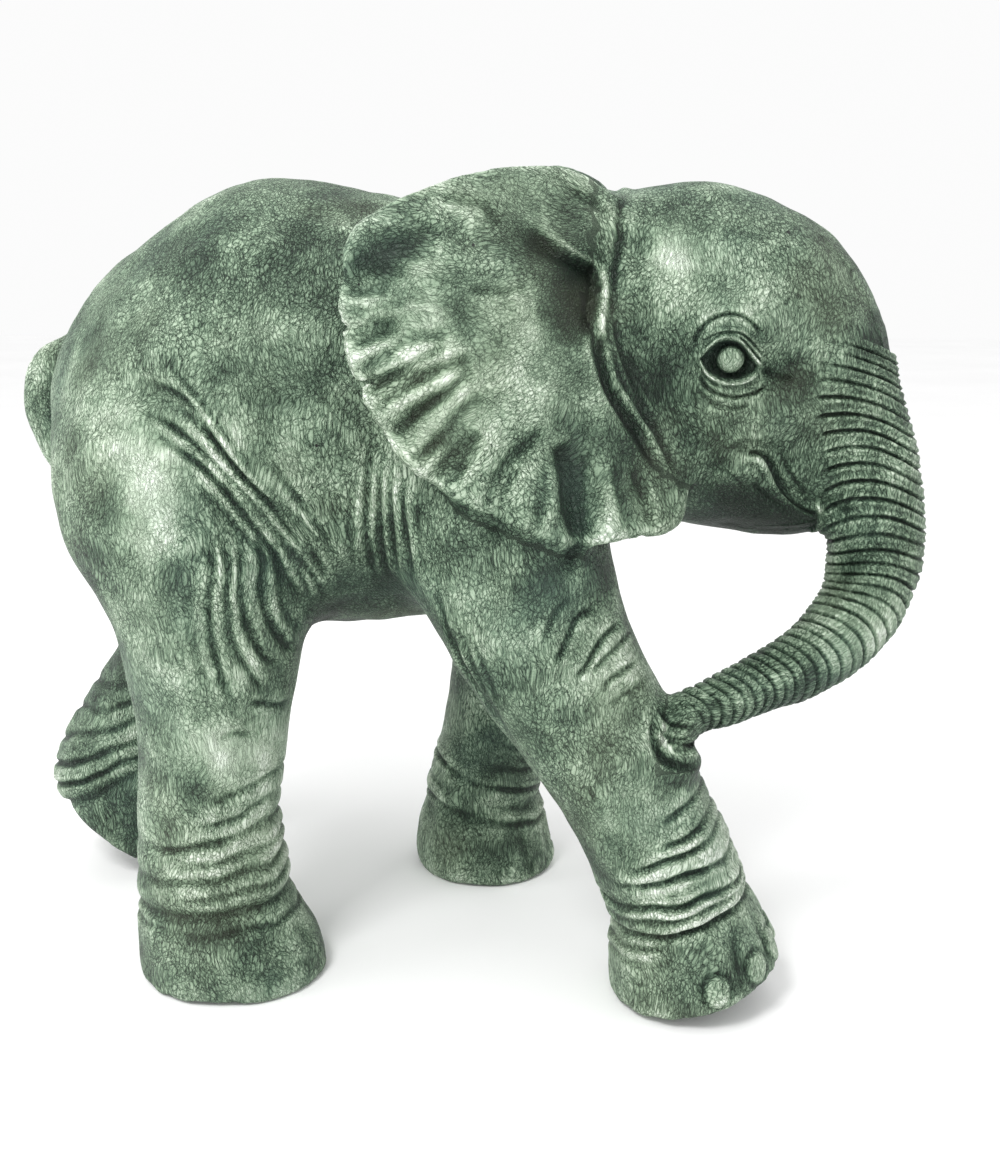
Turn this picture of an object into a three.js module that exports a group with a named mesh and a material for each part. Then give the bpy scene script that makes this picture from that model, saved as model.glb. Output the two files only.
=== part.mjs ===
// Elephant calf, walking, with its trunk curled back to its near foreleg, cast in one piece of stone.
// It faces +X, its near side is -Y, and it stands on z = 0 with the middle of its box at x = 0, y = 0.
// HEIGHT is in millimetres. Every other length is on a drawing on which the figure is about 100 tall
// and the ground lies at GROUND.
import * as THREE from "three";

const HEIGHT = 518;
const GROUND = 1.7;

// Rump, torso and neck: stations along the spine, each with its centre, half height and half width.
const RUMP = { at: [-35.4, 0, 69.4], half: [20, 20, 22.4] };
const TORSO = [
  { at: [-27.5, 0, 71.4], long: 27.2, wide: 22 },
  { at: [-17, 0, 70.2], long: 26.4, wide: 21.6 },
  { at: [-7, 0, 69.5], long: 24.2, wide: 20 },
  { at: [2, 0, 69.5], long: 21.2, wide: 18 },
];
const NECK = [
  { at: [-4, 0, 76], long: 17, wide: 15 },
  { at: [8, 0, 78.4], long: 16.8, wide: 13 },
  { at: [18, 0, 79], long: 15.2, wide: 11 },
];

// Legs: level sections from the hip or shoulder down, each with its centre, half length and half width.
const NEAR_HIND = [
  { at: [-33, -9, 76], long: 12, wide: 12.6 },
  { at: [-34.5, -11.6, 68], long: 16, wide: 13 },
  { at: [-35, -13.8, 58], long: 15.2, wide: 11.8 },
  { at: [-33.4, -15, 48], long: 11.6, wide: 9.6 },
  { at: [-33.4, -15.2, 41], long: 10.2, wide: 8.8 },
  { at: [-33.8, -15.2, 33], long: 8.9, wide: 8.2 },
  { at: [-34.8, -15.2, 25], long: 8.7, wide: 8.2 },
  { at: [-34.9, -15.2, 17], long: 9.3, wide: 8.6 },
  { at: [-34.5, -15.2, 11], long: 9.9, wide: 9 },
  { at: [-33.2, -15.2, 6], long: 11.4, wide: 9.7 },
  { at: [-32.6, -15.2, 1], long: 12, wide: 10 },
];
const FAR_HIND = [
  { at: [-34, 9, 76], long: 12, wide: 12 },
  { at: [-36, 11.2, 67], long: 15.4, wide: 12.8 },
  { at: [-38, 13, 56], long: 14.8, wide: 11 },
  { at: [-41, 14.3, 45], long: 10.6, wide: 9.2 },
  { at: [-45.6, 14.3, 36], long: 9.8, wide: 8.4 },
  { at: [-50.5, 14.3, 28], long: 10.4, wide: 8 },
  { at: [-54.8, 14.3, 20], long: 11, wide: 8.4 },
  { at: [-57, 14.3, 12], long: 10.6, wide: 9 },
  { at: [-56.4, 14.3, 4], long: 10.4, wide: 9.2 },
  { at: [-56, 14.3, 0], long: 10.4, wide: 9 },
];
const NEAR_FORE = [
  { at: [-1, -7.5, 80], long: 10, wide: 8 },
  { at: [-1.5, -11, 70], long: 12.6, wide: 10 },
  { at: [0, -14, 60], long: 13, wide: 10 },
  { at: [3.4, -15.8, 51], long: 11.8, wide: 9.5 },
  { at: [8, -16.4, 42], long: 11.2, wide: 8.9 },
  { at: [12.4, -16.4, 35], long: 10.4, wide: 8.5 },
  { at: [16, -16.4, 28.5], long: 9.6, wide: 8.3 },
  { at: [19.6, -16.4, 22], long: 9.3, wide: 8.3 },
  { at: [22.6, -16.4, 15], long: 9.2, wide: 8.7 },
  { at: [24.8, -16.4, 9], long: 10.2, wide: 9.6 },
  { at: [25.6, -16.4, 3.4], long: 11, wide: 10.1 },
  { at: [25.4, -16.4, 0], long: 10.4, wide: 9.8 },
];
const FAR_FORE = [
  { at: [-3, 8, 76], long: 11, wide: 9 },
  { at: [-1, 12, 64], long: 12, wide: 10 },
  { at: [0, 15, 52], long: 10.6, wide: 9.6 },
  { at: [0.6, 16.2, 42], long: 9, wide: 8.8 },
  { at: [0.2, 16.2, 33], long: 8.1, wide: 8.2 },
  { at: [-1.2, 16.2, 25], long: 7.8, wide: 7.8 },
  { at: [-2.7, 16.2, 18], long: 8.1, wide: 8 },
  { at: [-3.7, 16.2, 12], long: 8.8, wide: 8.6 },
  { at: [-3.5, 16.2, 6], long: 10, wide: 9.4 },
  { at: [-3, 16.2, 1], long: 10.4, wide: 9.8 },
];

// The near forefoot stands on its heel and the far hind foot on its toes: where each sole leaves the ground,
// how it rises along +X from there, and how level it still lies.
const TOES_LIFTED = { from: 19.5, rise: 0.34, lean: 0.95 };
const HEEL_LIFTED = { from: -49.6, rise: -0.74, lean: 0.8 };
const SOLE_ROUNDING = 1.4;
const SOLE_DEPTH = 0.4;

// Head, in a frame that turns about the neck towards the near side, by HEAD_TURN degrees.
const HEAD_TURN = 7;
const NECK_PIVOT = [8, 0];
const CRANIUM = { at: [22.4, 0, 82.4], half: [15.6, 12.6, 15.4] };
const BROW = { at: [29, 0, 80], half: [13.8, 10.2, 14.2] };
const CHEEK = { at: [25.5, 0, 70.5], half: [14, 11.6, 11.4] };
const JAW = { at: [28.8, 0, 63.4], half: [12.8, 8, 6.2] };
const LOWER_LIP = { at: [35.4, 0, 60.4], half: [6.4, 5, 3.8] };
const TRUNK = [
  { at: [32, 0, 82], long: 10.4, wide: 9.4 },
  { at: [37.8, 0, 77.6], long: 8.8, wide: 8 },
  { at: [41.4, 0, 72], long: 7, wide: 7 },
  { at: [44, 0, 66], long: 6.3, wide: 6.4 },
  { at: [45.7, 0.4, 59.5], long: 5.9, wide: 6 },
  { at: [46, -0.4, 53.6], long: 5.7, wide: 5.8 },
  { at: [44.7, -2, 48.4], long: 5.2, wide: 5.4 },
  { at: [41.3, -4.6, 44.5], long: 4.8, wide: 5 },
  { at: [36.9, -7.6, 41.8], long: 4.1, wide: 4.5 },
  { at: [32.2, -10.6, 40.2], long: 3.5, wide: 4 },
  { at: [28, -13.4, 39], long: 3.1, wide: 3.5 },
  { at: [24.8, -15.6, 38], long: 2.8, wide: 3 },
  { at: [22.9, -17.4, 35.8], long: 2.8, wide: 2.8 },
  { at: [23.4, -18, 32.8], long: 3.8, wide: 3 },
];

// Ears: the outline in the side view, and the sheet's distance from the middle plane, which grows from the
// root back to the rim. A pad of stone fills the space behind each ear, in from the rim.
const EAR_OUTLINE = [
  [13.6, 94.8], [10.6, 97.8], [5, 99.1], [-2, 98.1], [-7, 96.4], [-12, 94], [-14.8, 90.6], [-15.2, 84],
  [-13.8, 77.4], [-10.4, 70.6], [-5.9, 66.2], [-1, 63.2], [4.5, 60.8], [9.5, 58.8], [14, 59.4], [21.2, 59.8],
  [21.8, 64.4], [18.4, 70.4], [15.2, 77], [13.2, 83], [13.4, 90],
];
const EAR_THICK = 2;
const FAR_EAR_LIFT = 1.2;
const EAR_PAD = { inset: 3.2, rootInset: 0.3, deep: 9.5, lessLow: 3, lessHigh: 2, rounding: 1 };
const EAR_STAND = { root: 9.4, flare: 16.6, reach: 11.5, topIn: 3.5, topLessFlare: 5, lowMoreFlare: 1 };
const EAR_TOP = { from: 78, over: 21 };
const EAR_LOW = { from: 70, over: 12 };
const EAR_BOX = { x: [-19, 25], z: [56, 103] };
const EAR_ROOT = { x: 14, z: 84, slant: 0.5, ease: 4 };

const TAIL = [
  { at: [-51, 0, 78], long: 3, wide: 3 },
  { at: [-56, 0, 75.6], long: 2.9, wide: 2.4 },
  { at: [-57.6, 0, 70.6], long: 2.9, wide: 2 },
  { at: [-55.6, 0, 63.6], long: 2.2, wide: 1.7 },
];

// Carving that shows from a step away, drawn on the side view as lines with a width and a depth, alike on
// both sides. The lines of the head lie in the head's frame. A raised line has a depth under zero.
const BODY_VALLEYS = [
  { line: [[-35, 75], [-28.5, 64.5], [-23, 53]], width: 2.4, depth: 0.9 },
  { line: [[-12.5, 70], [-11.5, 60], [-12.5, 49]], width: 2.2, depth: 0.8 },
];
const EAR_VALLEYS = [
  { line: [[-1, 86], [-8, 87], [-15, 87.6]], width: 1.3, depth: 1 },
  { line: [[0, 82.5], [-7, 82.4], [-15.5, 82.6]], width: 1.2, depth: 0.9 },
  { line: [[0, 79.5], [-6, 78], [-14.5, 76.2]], width: 1.2, depth: 1 },
  { line: [[0, 77.5], [-5, 74.6], [-11.6, 70.4]], width: 1.2, depth: 1 },
  { line: [[2, 76], [-2, 71], [-6, 64.6]], width: 1.2, depth: 1 },
  { line: [[5, 75.5], [3, 68], [1, 60.4]], width: 1.2, depth: 0.9 },
  { line: [[8.5, 76], [10.6, 68], [11, 57.6]], width: 1.7, depth: 1.9 },
  { line: [[14, 72], [16, 66], [16.6, 58.6]], width: 1.2, depth: 0.9 },
  { line: [[12.4, 82.4], [12, 85.6], [11.4, 88.4]], width: 1.9, depth: 1.4 },
];
const EYE = { at: [28.2, 78.4], ball: 1.35, socket: [2.7, 2], hollow: 1.2 };
const HEAD_LINES = [
  { line: [[24.4, 81.4], [28, 83.2], [32, 81.6]], width: 1.2, depth: -0.5 },
  { line: [[32, 77.4], [33.4, 76.4]], width: 1.9, depth: 0.9 },
  { line: [[29.6, 68.2], [32.6, 68], [35, 64.2], [38.6, 61.4], [42, 60]], width: 0.85, depth: 1.1 },
];
// Rolls of skin at the ankles of the near hind, near fore, far fore and far hind legs.
const ROLL_WIDTH = 1;
const ROLLS = [
  { at: [-34.6, -15.2, 13], tilt: 0.04, depth: 0.8 },
  { at: [-34.6, -15.2, 17.4], tilt: 0.1, depth: 0.4 },
  { at: [-34.6, -15.2, 22], tilt: 0.16, depth: 0.35 },
  { at: [23, -16.4, 14], tilt: 0.3, depth: 0.75 },
  { at: [21.4, -16.4, 18.4], tilt: 0.34, depth: 0.4 },
  { at: [-3.6, 16.2, 12.6], tilt: 0.05, depth: 0.7 },
  { at: [-57, 14.3, 15.5], tilt: 0.5, depth: 0.7 },
];
const ROLL_REACH = 13;

// How far neighbouring masses flow into each other.
const BLEND = {
  rump: 5, neck: 7, hip: 5, shoulder: 4.5, tail: 1.5, head: 5, jaw: 3, trunk: 4, trunkTip: 1.2,
  ear: 3, earRoot: 4,
};
const TRUNK_JOINT = { from: 48, over: 20 };

// Where along the figure its hind, tail, fore and head parts are looked for.
const HIND_BEHIND = -8;
const TAIL_BEHIND = -50;
const FORE_AHEAD = -24;
const HEAD_ABOVE = 28;
const RUMP_CAP = 0.9;
const CHEST_CAP = 0.75;

// Fineness of the block that the surface is found in, which is finer across the eyes and the mouth.
const CELL = 1.1;
const FINE = { cell: 0.62, x: [25, 41], z: [58, 83] };
const TRIANGLES = 9700;
const EASING_ROUNDS = 3;

const smoothMin = (a, b, k) => {
  const h = Math.max(k - Math.abs(a - b), 0) / k;
  return Math.min(a, b) - (h * h * k) / 4;
};
const smoothMax = (a, b, k) => -smoothMin(-a, -b, k);
const clamp01 = (t) => Math.min(1, Math.max(0, t));

// Distance from an oval mass, good near its surface. The offsets are from its centre, in its own axes.
const oval = (u, v, w, a, b, c) => {
  const k0 = Math.hypot(u / a, v / b, w / c), k1 = Math.hypot(u / (a * a), v / (b * b), w / (c * c));
  return k1 < 1e-9 ? -Math.min(a, b, c) : (k0 * (k0 - 1)) / k1;
};
const mass = ({ at, half }, x, y, z) => oval(x - at[0], y - at[1], z - at[2], ...half);

// Smooth curves through the centres and the half sizes of a row of stations.
const curves = (stations) => [
  new THREE.CatmullRomCurve3(stations.map((s) => new THREE.Vector3(...s.at)), false, "catmullrom", 0.5),
  new THREE.SplineCurve(stations.map((s) => new THREE.Vector2(s.long, s.wide))),
];
const PER_STATION = 6;

// A mass along a bending line, with an oval section across the line and rounded ends.
const alongLine = (stations, startCap = 0.8, endCap = 0.8) => {
  const [line, sizes] = curves(stations), n = (stations.length - 1) * PER_STATION;
  const rows = Array.from({ length: n + 1 }, (_, i) => {
    const p = line.getPoint(i / n), t = line.getTangent(i / n), r = sizes.getPoint(i / n);
    const side = new THREE.Vector3(0, 1, 0).addScaledVector(t, -t.y).normalize();
    return [p.x, p.y, p.z, t.x, t.y, t.z, side.x, side.y, side.z, r.x, r.y];
  });
  return (x, y, z) => {
    let best = Infinity, row = 0, share = 0;
    for (let i = 0; i < n; i++) {
      const p = rows[i], q = rows[i + 1];
      const dx = q[0] - p[0], dy = q[1] - p[1], dz = q[2] - p[2];
      const forward = (x - p[0]) * dx + (y - p[1]) * dy + (z - p[2]) * dz;
      const t = clamp01(forward / (dx * dx + dy * dy + dz * dz));
      const d = (x - p[0] - t * dx) ** 2 + (y - p[1] - t * dy) ** 2 + (z - p[2] - t * dz) ** 2;
      if (d < best) {
        best = d;
        row = i;
        share = t;
      }
    }
    const p = rows[row], q = rows[row + 1];
    const mix = (c) => p[c] + share * (q[c] - p[c]);
    const qx = x - mix(0), qy = y - mix(1), qz = z - mix(2);
    let tx = mix(3), ty = mix(4), tz = mix(5), sx = mix(6), sy = mix(7), sz = mix(8);
    const tl = Math.hypot(tx, ty, tz), sl = Math.hypot(sx, sy, sz);
    tx /= tl;
    ty /= tl;
    tz /= tl;
    sx /= sl;
    sy /= sl;
    sz /= sl;
    const across = qx * (sy * tz - sz * ty) + qy * (sz * tx - sx * tz) + qz * (sx * ty - sy * tx);
    const aside = qx * sx + qy * sy + qz * sz;
    const atEnd = (row === 0 && share === 0) || (row === n - 1 && share === 1);
    const past = atEnd ? qx * tx + qy * ty + qz * tz : 0;
    const a = mix(9), b = mix(10);
    return oval(across, aside, past, a, b, (past > 0 ? endCap : startCap) * Math.min(a, b));
  };
};

// A mass made of level sections, rounded over at the top and open below.
const SECTION_STEP = 0.5;
const leg = (stations) => {
  const [line, sizes] = curves(stations), n = 40 * stations.length;
  const top = stations[0].at[2], bottom = stations.at(-1).at[2];
  const rows = [];
  for (let i = 0, z = top; i <= n; i++) {
    const p = line.getPoint(i / n), r = sizes.getPoint(i / n);
    while (z >= p.z - 1e-9 && z >= bottom) {
      rows.push([p.x, p.y, r.x, r.y]);
      z -= SECTION_STEP;
    }
  }
  return (x, y, z) => {
    const f = Math.min(rows.length - 1.001, Math.max(0, (top - z) / SECTION_STEP));
    const i = Math.floor(f), t = f - i;
    const p = rows[i], q = rows[i + 1];
    const dx = (q[0] - p[0]) / SECTION_STEP, dy = (q[1] - p[1]) / SECTION_STEP;
    const a = p[2] + t * (q[2] - p[2]), b = p[3] + t * (q[3] - p[3]);
    const u = x - p[0] - t * dx * SECTION_STEP, v = y - p[1] - t * dy * SECTION_STEP;
    const over = Math.max(0, z - top), gx = u / (a * a), gy = v / (b * b), g = Math.hypot(gx, gy) || 1;
    const slope = over > 0 ? 0 : (gx * dx + gy * dy) / g;
    return oval(u, v, over, a, b, 0.6 * a) / Math.sqrt(1 + slope * slope);
  };
};

const torso = alongLine(TORSO, RUMP_CAP, CHEST_CAP), neck = alongLine(NECK);
const trunk = alongLine(TRUNK), tail = alongLine(TAIL);
const nearHind = leg(NEAR_HIND), farHind = leg(FAR_HIND), nearFore = leg(NEAR_FORE), farFore = leg(FAR_FORE);

// Distance in the side view from the ear's outline, under zero inside it.
const earPoints = EAR_OUTLINE.map(([x, z]) => new THREE.Vector3(x, 0, z));
const earLoop = new THREE.CatmullRomCurve3(earPoints, true, "centripetal").getPoints(84).slice(0, -1);
const earRim = (x, z) => {
  let best = Infinity, inside = false;
  for (let i = 0, j = earLoop.length - 1; i < earLoop.length; j = i++) {
    const a = earLoop[j], b = earLoop[i], dx = b.x - a.x, dz = b.z - a.z;
    const t = clamp01(((x - a.x) * dx + (z - a.z) * dz) / (dx * dx + dz * dz));
    best = Math.min(best, (x - a.x - t * dx) ** 2 + (z - a.z - t * dz) ** 2);
    if (a.z > z !== b.z > z && x < a.x + (dx * (z - a.z)) / dz) inside = !inside;
  }
  return (inside ? -1 : 1) * Math.sqrt(best);
};
const behindRoot = (x, z) => EAR_ROOT.x + EAR_ROOT.slant * (EAR_ROOT.z - z) - x;
const earStand = (x, z) => {
  const { root, flare, reach, topIn, topLessFlare, lowMoreFlare } = EAR_STAND;
  const high = clamp01((z - EAR_TOP.from) / EAR_TOP.over) ** 2;
  const low = clamp01((EAR_LOW.from - z) / EAR_LOW.over);
  const behind = behindRoot(x, z);
  const grown = 1 - Math.exp(-(behind + Math.hypot(behind, EAR_ROOT.ease)) / 2 / reach);
  return root - topIn * high + (flare - topLessFlare * high + lowMoreFlare * low) * grown;
};
const nearEar = (x, z) => x > EAR_BOX.x[0] && x < EAR_BOX.x[1] && z > EAR_BOX.z[0] && z < EAR_BOX.z[1];
const ear = (x, y, z) => {
  if (!nearEar(x, z)) return 6;
  const stand = earStand(x, z), r = 0.45 * EAR_THICK;
  const slopeX = (earStand(x + 0.2, z) - stand) * 5, slopeZ = (earStand(x, z + 0.2) - stand) * 5;
  const lean = 1 / Math.hypot(1, slopeX, slopeZ), off = clamp01((lean * (y - stand) + 3) / 6) * 6 - 3;
  const rim = earRim(x + off * slopeX * lean, z + off * slopeZ * lean);
  const sheet = lean * Math.abs(y - stand) - EAR_THICK / 2;
  const u = rim + r, v = sheet + r;
  const lip = Math.hypot(Math.max(u, 0), Math.max(v, 0)) + Math.min(Math.max(u, v), 0) - r;
  const inset = EAR_PAD.rootInset + (EAR_PAD.inset - EAR_PAD.rootInset) * clamp01((behindRoot(x, z) - 1) / 9);
  const { deep, lessLow, lessHigh } = EAR_PAD;
  const depth = deep - lessLow * clamp01((74 - z) / 10) - lessHigh * clamp01((z - 86) / 10);
  const pad = smoothMax(rim + inset, lean * Math.max(y - stand, stand - depth - y), EAR_PAD.rounding);
  return smoothMin(lip, pad, EAR_PAD.rounding);
};

// The whole form, under zero inside the stone.
const turn = THREE.MathUtils.degToRad(HEAD_TURN), cosTurn = Math.cos(turn), sinTurn = Math.sin(turn);
const inHead = (x, y) => [
  NECK_PIVOT[0] + (x - NECK_PIVOT[0]) * cosTurn - y * sinTurn,
  NECK_PIVOT[1] + (x - NECK_PIVOT[0]) * sinTurn + y * cosTurn,
];
const form = (x, y, z) => {
  let d = smoothMin(torso(x, y, z), mass(RUMP, x, y, z), BLEND.rump);
  if (x < HIND_BEHIND) {
    const near = nearHind(x, y, z);
    const lifted = HEEL_LIFTED.rise * (x - HEEL_LIFTED.from) + GROUND - z;
    const far = smoothMax(farHind(x, y, z), lifted * HEEL_LIFTED.lean, SOLE_ROUNDING);
    d = smoothMin(smoothMin(d, near, BLEND.hip), far, BLEND.hip);
    if (x < TAIL_BEHIND) d = smoothMin(d, tail(x, y, z), BLEND.tail);
  }
  if (x > FORE_AHEAD) {
    const [hx, hy] = inHead(x, y);
    d = smoothMin(d, neck(x, y, z), BLEND.neck);
    const lifted = TOES_LIFTED.rise * (x - TOES_LIFTED.from) + GROUND - z;
    const near = smoothMax(nearFore(x, y, z), lifted * TOES_LIFTED.lean, SOLE_ROUNDING);
    d = smoothMin(smoothMin(d, near, BLEND.shoulder), farFore(x, y, z), BLEND.shoulder);
    if (z > HEAD_ABOVE) {
      let head = smoothMin(mass(CRANIUM, hx, hy, z), mass(BROW, hx, hy, z), BLEND.head);
      head = smoothMin(head, mass(CHEEK, hx, hy, z), BLEND.head);
      head = smoothMin(head, mass(JAW, hx, hy, z), BLEND.jaw);
      head = smoothMin(head, mass(LOWER_LIP, hx, hy, z), BLEND.jaw);
      const joined = clamp01((z - TRUNK_JOINT.from) / TRUNK_JOINT.over);
      d = smoothMin(d, head, BLEND.head);
      d = smoothMin(d, trunk(hx, hy, z), BLEND.trunkTip + joined * (BLEND.trunk - BLEND.trunkTip));
      const root = clamp01((10 - behindRoot(x, z)) / 7);
      const sheet = ear(x, Math.abs(y), y > 0 ? z - FAR_EAR_LIFT : z);
      d = smoothMin(d, sheet, BLEND.ear + root * (BLEND.earRoot - BLEND.ear));
    }
  }
  return smoothMax(d, GROUND - z, SOLE_ROUNDING);
};

// Marching tetrahedra, six to a cube of the block, which always gives one closed surface.
const lines = (low, high, [from, to] = [high, high]) => {
  const out = [low];
  while (out.at(-1) < high) out.push(out.at(-1) + (out.at(-1) > from && out.at(-1) < to ? FINE.cell : CELL));
  return out;
};
const GRID = [lines(-74, 56, FINE.x), lines(-31, 31), lines(GROUND - 1.5 * CELL, 104, FINE.z)];
// The cubes are met in blocks of SKIP a side, and a block that lies clear of the surface is passed over.
const SKIP = 4;
const CORNERS = [[0, 0, 0], [1, 0, 0], [0, 1, 0], [1, 1, 0], [0, 0, 1], [1, 0, 1], [0, 1, 1], [1, 1, 1]];
const TETRAHEDRA = [[0, 1, 3, 7], [0, 3, 2, 7], [0, 2, 6, 7], [0, 6, 4, 7], [0, 4, 5, 7], [0, 5, 1, 7]];
const march = () => {
  const [X, Y, Z] = GRID, nx = X.length, ny = Y.length, nz = Z.length, total = nx * ny * nz;
  const value = new Float32Array(total).fill(NaN);
  const place = (n) => [X[n % nx], Y[Math.floor(n / nx) % ny], Z[Math.floor(n / (nx * ny))]];
  const positions = [], faces = [], crossings = new Map();
  const crossing = (a, b) => {
    const low = Math.min(a, b), high = Math.max(a, b), key = low * total + high;
    let v = crossings.get(key);
    if (v === undefined) {
      const t = Math.min(0.96, Math.max(0.04, value[low] / (value[low] - value[high])));
      const p = place(low), q = place(high);
      v = positions.length / 3;
      positions.push(p[0] + t * (q[0] - p[0]), p[1] + t * (q[1] - p[1]), p[2] + t * (q[2] - p[2]));
      crossings.set(key, v);
    }
    return v;
  };
  const tetrahedron = (corners) => {
    const inside = corners.filter((c) => value[c] < 0), outside = corners.filter((c) => value[c] >= 0);
    if (!inside.length || !outside.length) return;
    let made;
    if (inside.length === 1) made = [outside.map((c) => crossing(inside[0], c))];
    else if (outside.length === 1) made = [inside.map((c) => crossing(c, outside[0]))];
    else {
      const [a, b] = inside, [c, e] = outside;
      const ac = crossing(a, c), be = crossing(b, e);
      made = [[ac, crossing(a, e), be], [ac, be, crossing(b, c)]];
    }
    const p = place(inside[0]), q = place(outside[0]), at = (v, axis) => positions[3 * v + axis];
    for (const [a, b, c] of made) {
      const ux = at(b, 0) - at(a, 0), uy = at(b, 1) - at(a, 1), uz = at(b, 2) - at(a, 2);
      const vx = at(c, 0) - at(a, 0), vy = at(c, 1) - at(a, 1), vz = at(c, 2) - at(a, 2);
      const out = (uy * vz - uz * vy) * (q[0] - p[0]) + (uz * vx - ux * vz) * (q[1] - p[1])
        + (ux * vy - uy * vx) * (q[2] - p[2]);
      faces.push(a, out > 0 ? b : c, out > 0 ? c : b);
    }
  };
  const reach = 1.05 * SKIP * CELL + 2;
  const blocks = (row) => {
    const out = [];
    for (let at = 0; Math.floor(at) < row.length - 1; at += SKIP) {
      const from = Math.floor(at), to = Math.min(Math.floor(at + SKIP), row.length - 1);
      if (to > from) out.push({ from, to, middle: (row[from] + row[to]) / 2 });
    }
    return out;
  };
  const cube = (i, j, k) => {
    const corner = CORNERS.map(([u, v, w]) => i + u + nx * (j + v + ny * (k + w)));
    let below = 0;
    for (const n of corner) {
      if (Number.isNaN(value[n])) value[n] = form(...place(n)) || 1e-6;
      if (value[n] < 0) below++;
    }
    if (below && below < 8) for (const t of TETRAHEDRA) tetrahedron(t.map((q) => corner[q]));
  };
  const alongX = blocks(X), alongY = blocks(Y), alongZ = blocks(Z);
  for (const up of alongZ)
    for (const aside of alongY)
      for (const ahead of alongX) {
        if (Math.abs(form(ahead.middle, aside.middle, up.middle)) > reach) continue;
        for (let c = up.from; c < up.to; c++)
          for (let b = aside.from; b < aside.to; b++)
            for (let a = ahead.from; a < ahead.to; a++) cube(a, b, c);
      }
  for (let v = 2; v < positions.length; v += 3) if (positions[v] < GROUND + SOLE_DEPTH) positions[v] = GROUND;
  return { positions, faces };
};

// Eases the corners that the marching leaves, without shrinking the form. The soles stay flat.
const corners = (P, F) => {
  const N = new Float64Array(P.length);
  for (let f = 0; f < F.length; f += 3) {
    const [a, b, c] = [3 * F[f], 3 * F[f + 1], 3 * F[f + 2]];
    const ux = P[b] - P[a], uy = P[b + 1] - P[a + 1], uz = P[b + 2] - P[a + 2];
    const vx = P[c] - P[a], vy = P[c + 1] - P[a + 1], vz = P[c + 2] - P[a + 2];
    for (const v of [a, b, c]) {
      N[v] += uy * vz - uz * vy;
      N[v + 1] += uz * vx - ux * vz;
      N[v + 2] += ux * vy - uy * vx;
    }
  }
  return N;
};
const ease = (P, F) => {
  const sum = new Float64Array(P.length), count = new Float64Array(P.length / 3);
  for (let round = 0; round < 2 * EASING_ROUNDS; round++) {
    const share = round % 2 ? -0.53 : 0.5;
    sum.fill(0);
    count.fill(0);
    for (let f = 0; f < F.length; f += 3) for (let c = 0; c < 3; c++) {
      const a = F[f + c], b = F[f + ((c + 1) % 3)];
      for (let m = 0; m < 3; m++) sum[3 * a + m] += P[3 * b + m];
      count[a]++;
    }
    for (let v = 0; v < count.length; v++) for (let m = 0; m < 3; m++) {
      const free = m < 2 || P[3 * v + 2] > GROUND + 0.01;
      if (free) P[3 * v + m] += share * (sum[3 * v + m] / count[v] - P[3 * v + m]);
    }
  }
};

// How deep the carving goes at a place, from how far it is from each drawn line.
const sampled = ({ line, width, depth }) => {
  const curve = new THREE.SplineCurve(line.map(([x, z]) => new THREE.Vector2(x, z)));
  return { points: curve.getPoints(4 * (line.length - 1)), width, depth };
};
const bodyValleys = BODY_VALLEYS.map(sampled), earValleys = EAR_VALLEYS.map(sampled);
const headLines = HEAD_LINES.map(sampled);
const carve = (list, x, z, faded) => {
  let d = 0;
  for (const { points, width, depth } of list) {
    let best = Infinity, along = 0;
    for (let i = 1; i < points.length; i++) {
      const a = points[i - 1], dx = points[i].x - a.x, dz = points[i].y - a.y;
      const t = clamp01(((x - a.x) * dx + (z - a.y) * dz) / (dx * dx + dz * dz));
      const far = (x - a.x - t * dx) ** 2 + (z - a.y - t * dz) ** 2;
      if (far < best) {
        best = far;
        along = (i - 1 + t) / (points.length - 1);
      }
    }
    d += (faded ? Math.min(1, 1.4 * along) : 1) * depth * Math.exp(-best / (width * width));
  }
  return d;
};
const relief = (x, y, z, facing) => {
  const [hx, hy] = inHead(x, y);
  let d = 0;
  const ez = y > 0 ? z - FAR_EAR_LIFT : z;
  const onEar = nearEar(x, ez) && Math.abs(y) > earStand(x, ez) - 1.2;
  if (onEar) d += facing * carve(earValleys, x, ez, true);
  else if (x < -5) d += facing * carve(bodyValleys, x, z, false);
  if (!onEar && z > 56 && hx > 21) {
    d += facing * carve(headLines, hx, z, false);
    const u = (hx - EYE.at[0]) / EYE.socket[0], w = (z - EYE.at[1]) / EYE.socket[1];
    const ball = Math.hypot(hx - EYE.at[0], z - EYE.at[1]) / EYE.ball;
    const socket = EYE.hollow * Math.exp(-((u * u + w * w) ** 2));
    d += facing * (socket - EYE.ball * Math.sqrt(Math.max(0, 1 - ball * ball)));
  }
  for (const { at, tilt, depth } of ROLLS) {
    if (Math.hypot(x - at[0], y - at[1]) > ROLL_REACH) continue;
    d += depth * Math.exp(-(((z - at[2] - tilt * (x - at[0])) / ROLL_WIDTH) ** 2));
  }
  return d;
};
const engrave = (P, F) => {
  const N = corners(P, F);
  for (let v = 0; v < P.length; v += 3) {
    const size = Math.hypot(N[v], N[v + 1], N[v + 2]);
    const facing = clamp01((Math.abs(N[v + 1]) / size - 0.15) / 0.4);
    const d = relief(P[v], P[v + 1], P[v + 2], facing);
    if (P[v + 2] > GROUND + 0.01) for (let m = 0; m < 3; m++) P[v + m] -= (d * N[v + m]) / size;
  }
};
const carved = (P, i) => {
  const [hx] = inHead(P[i], P[i + 1]);
  return Math.hypot((hx - EYE.at[0]) / 4, (P[i + 2] - EYE.at[1]) / 3.2) < 1 && Math.abs(P[i + 1]) > 4 ? 8 : 1;
};

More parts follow.
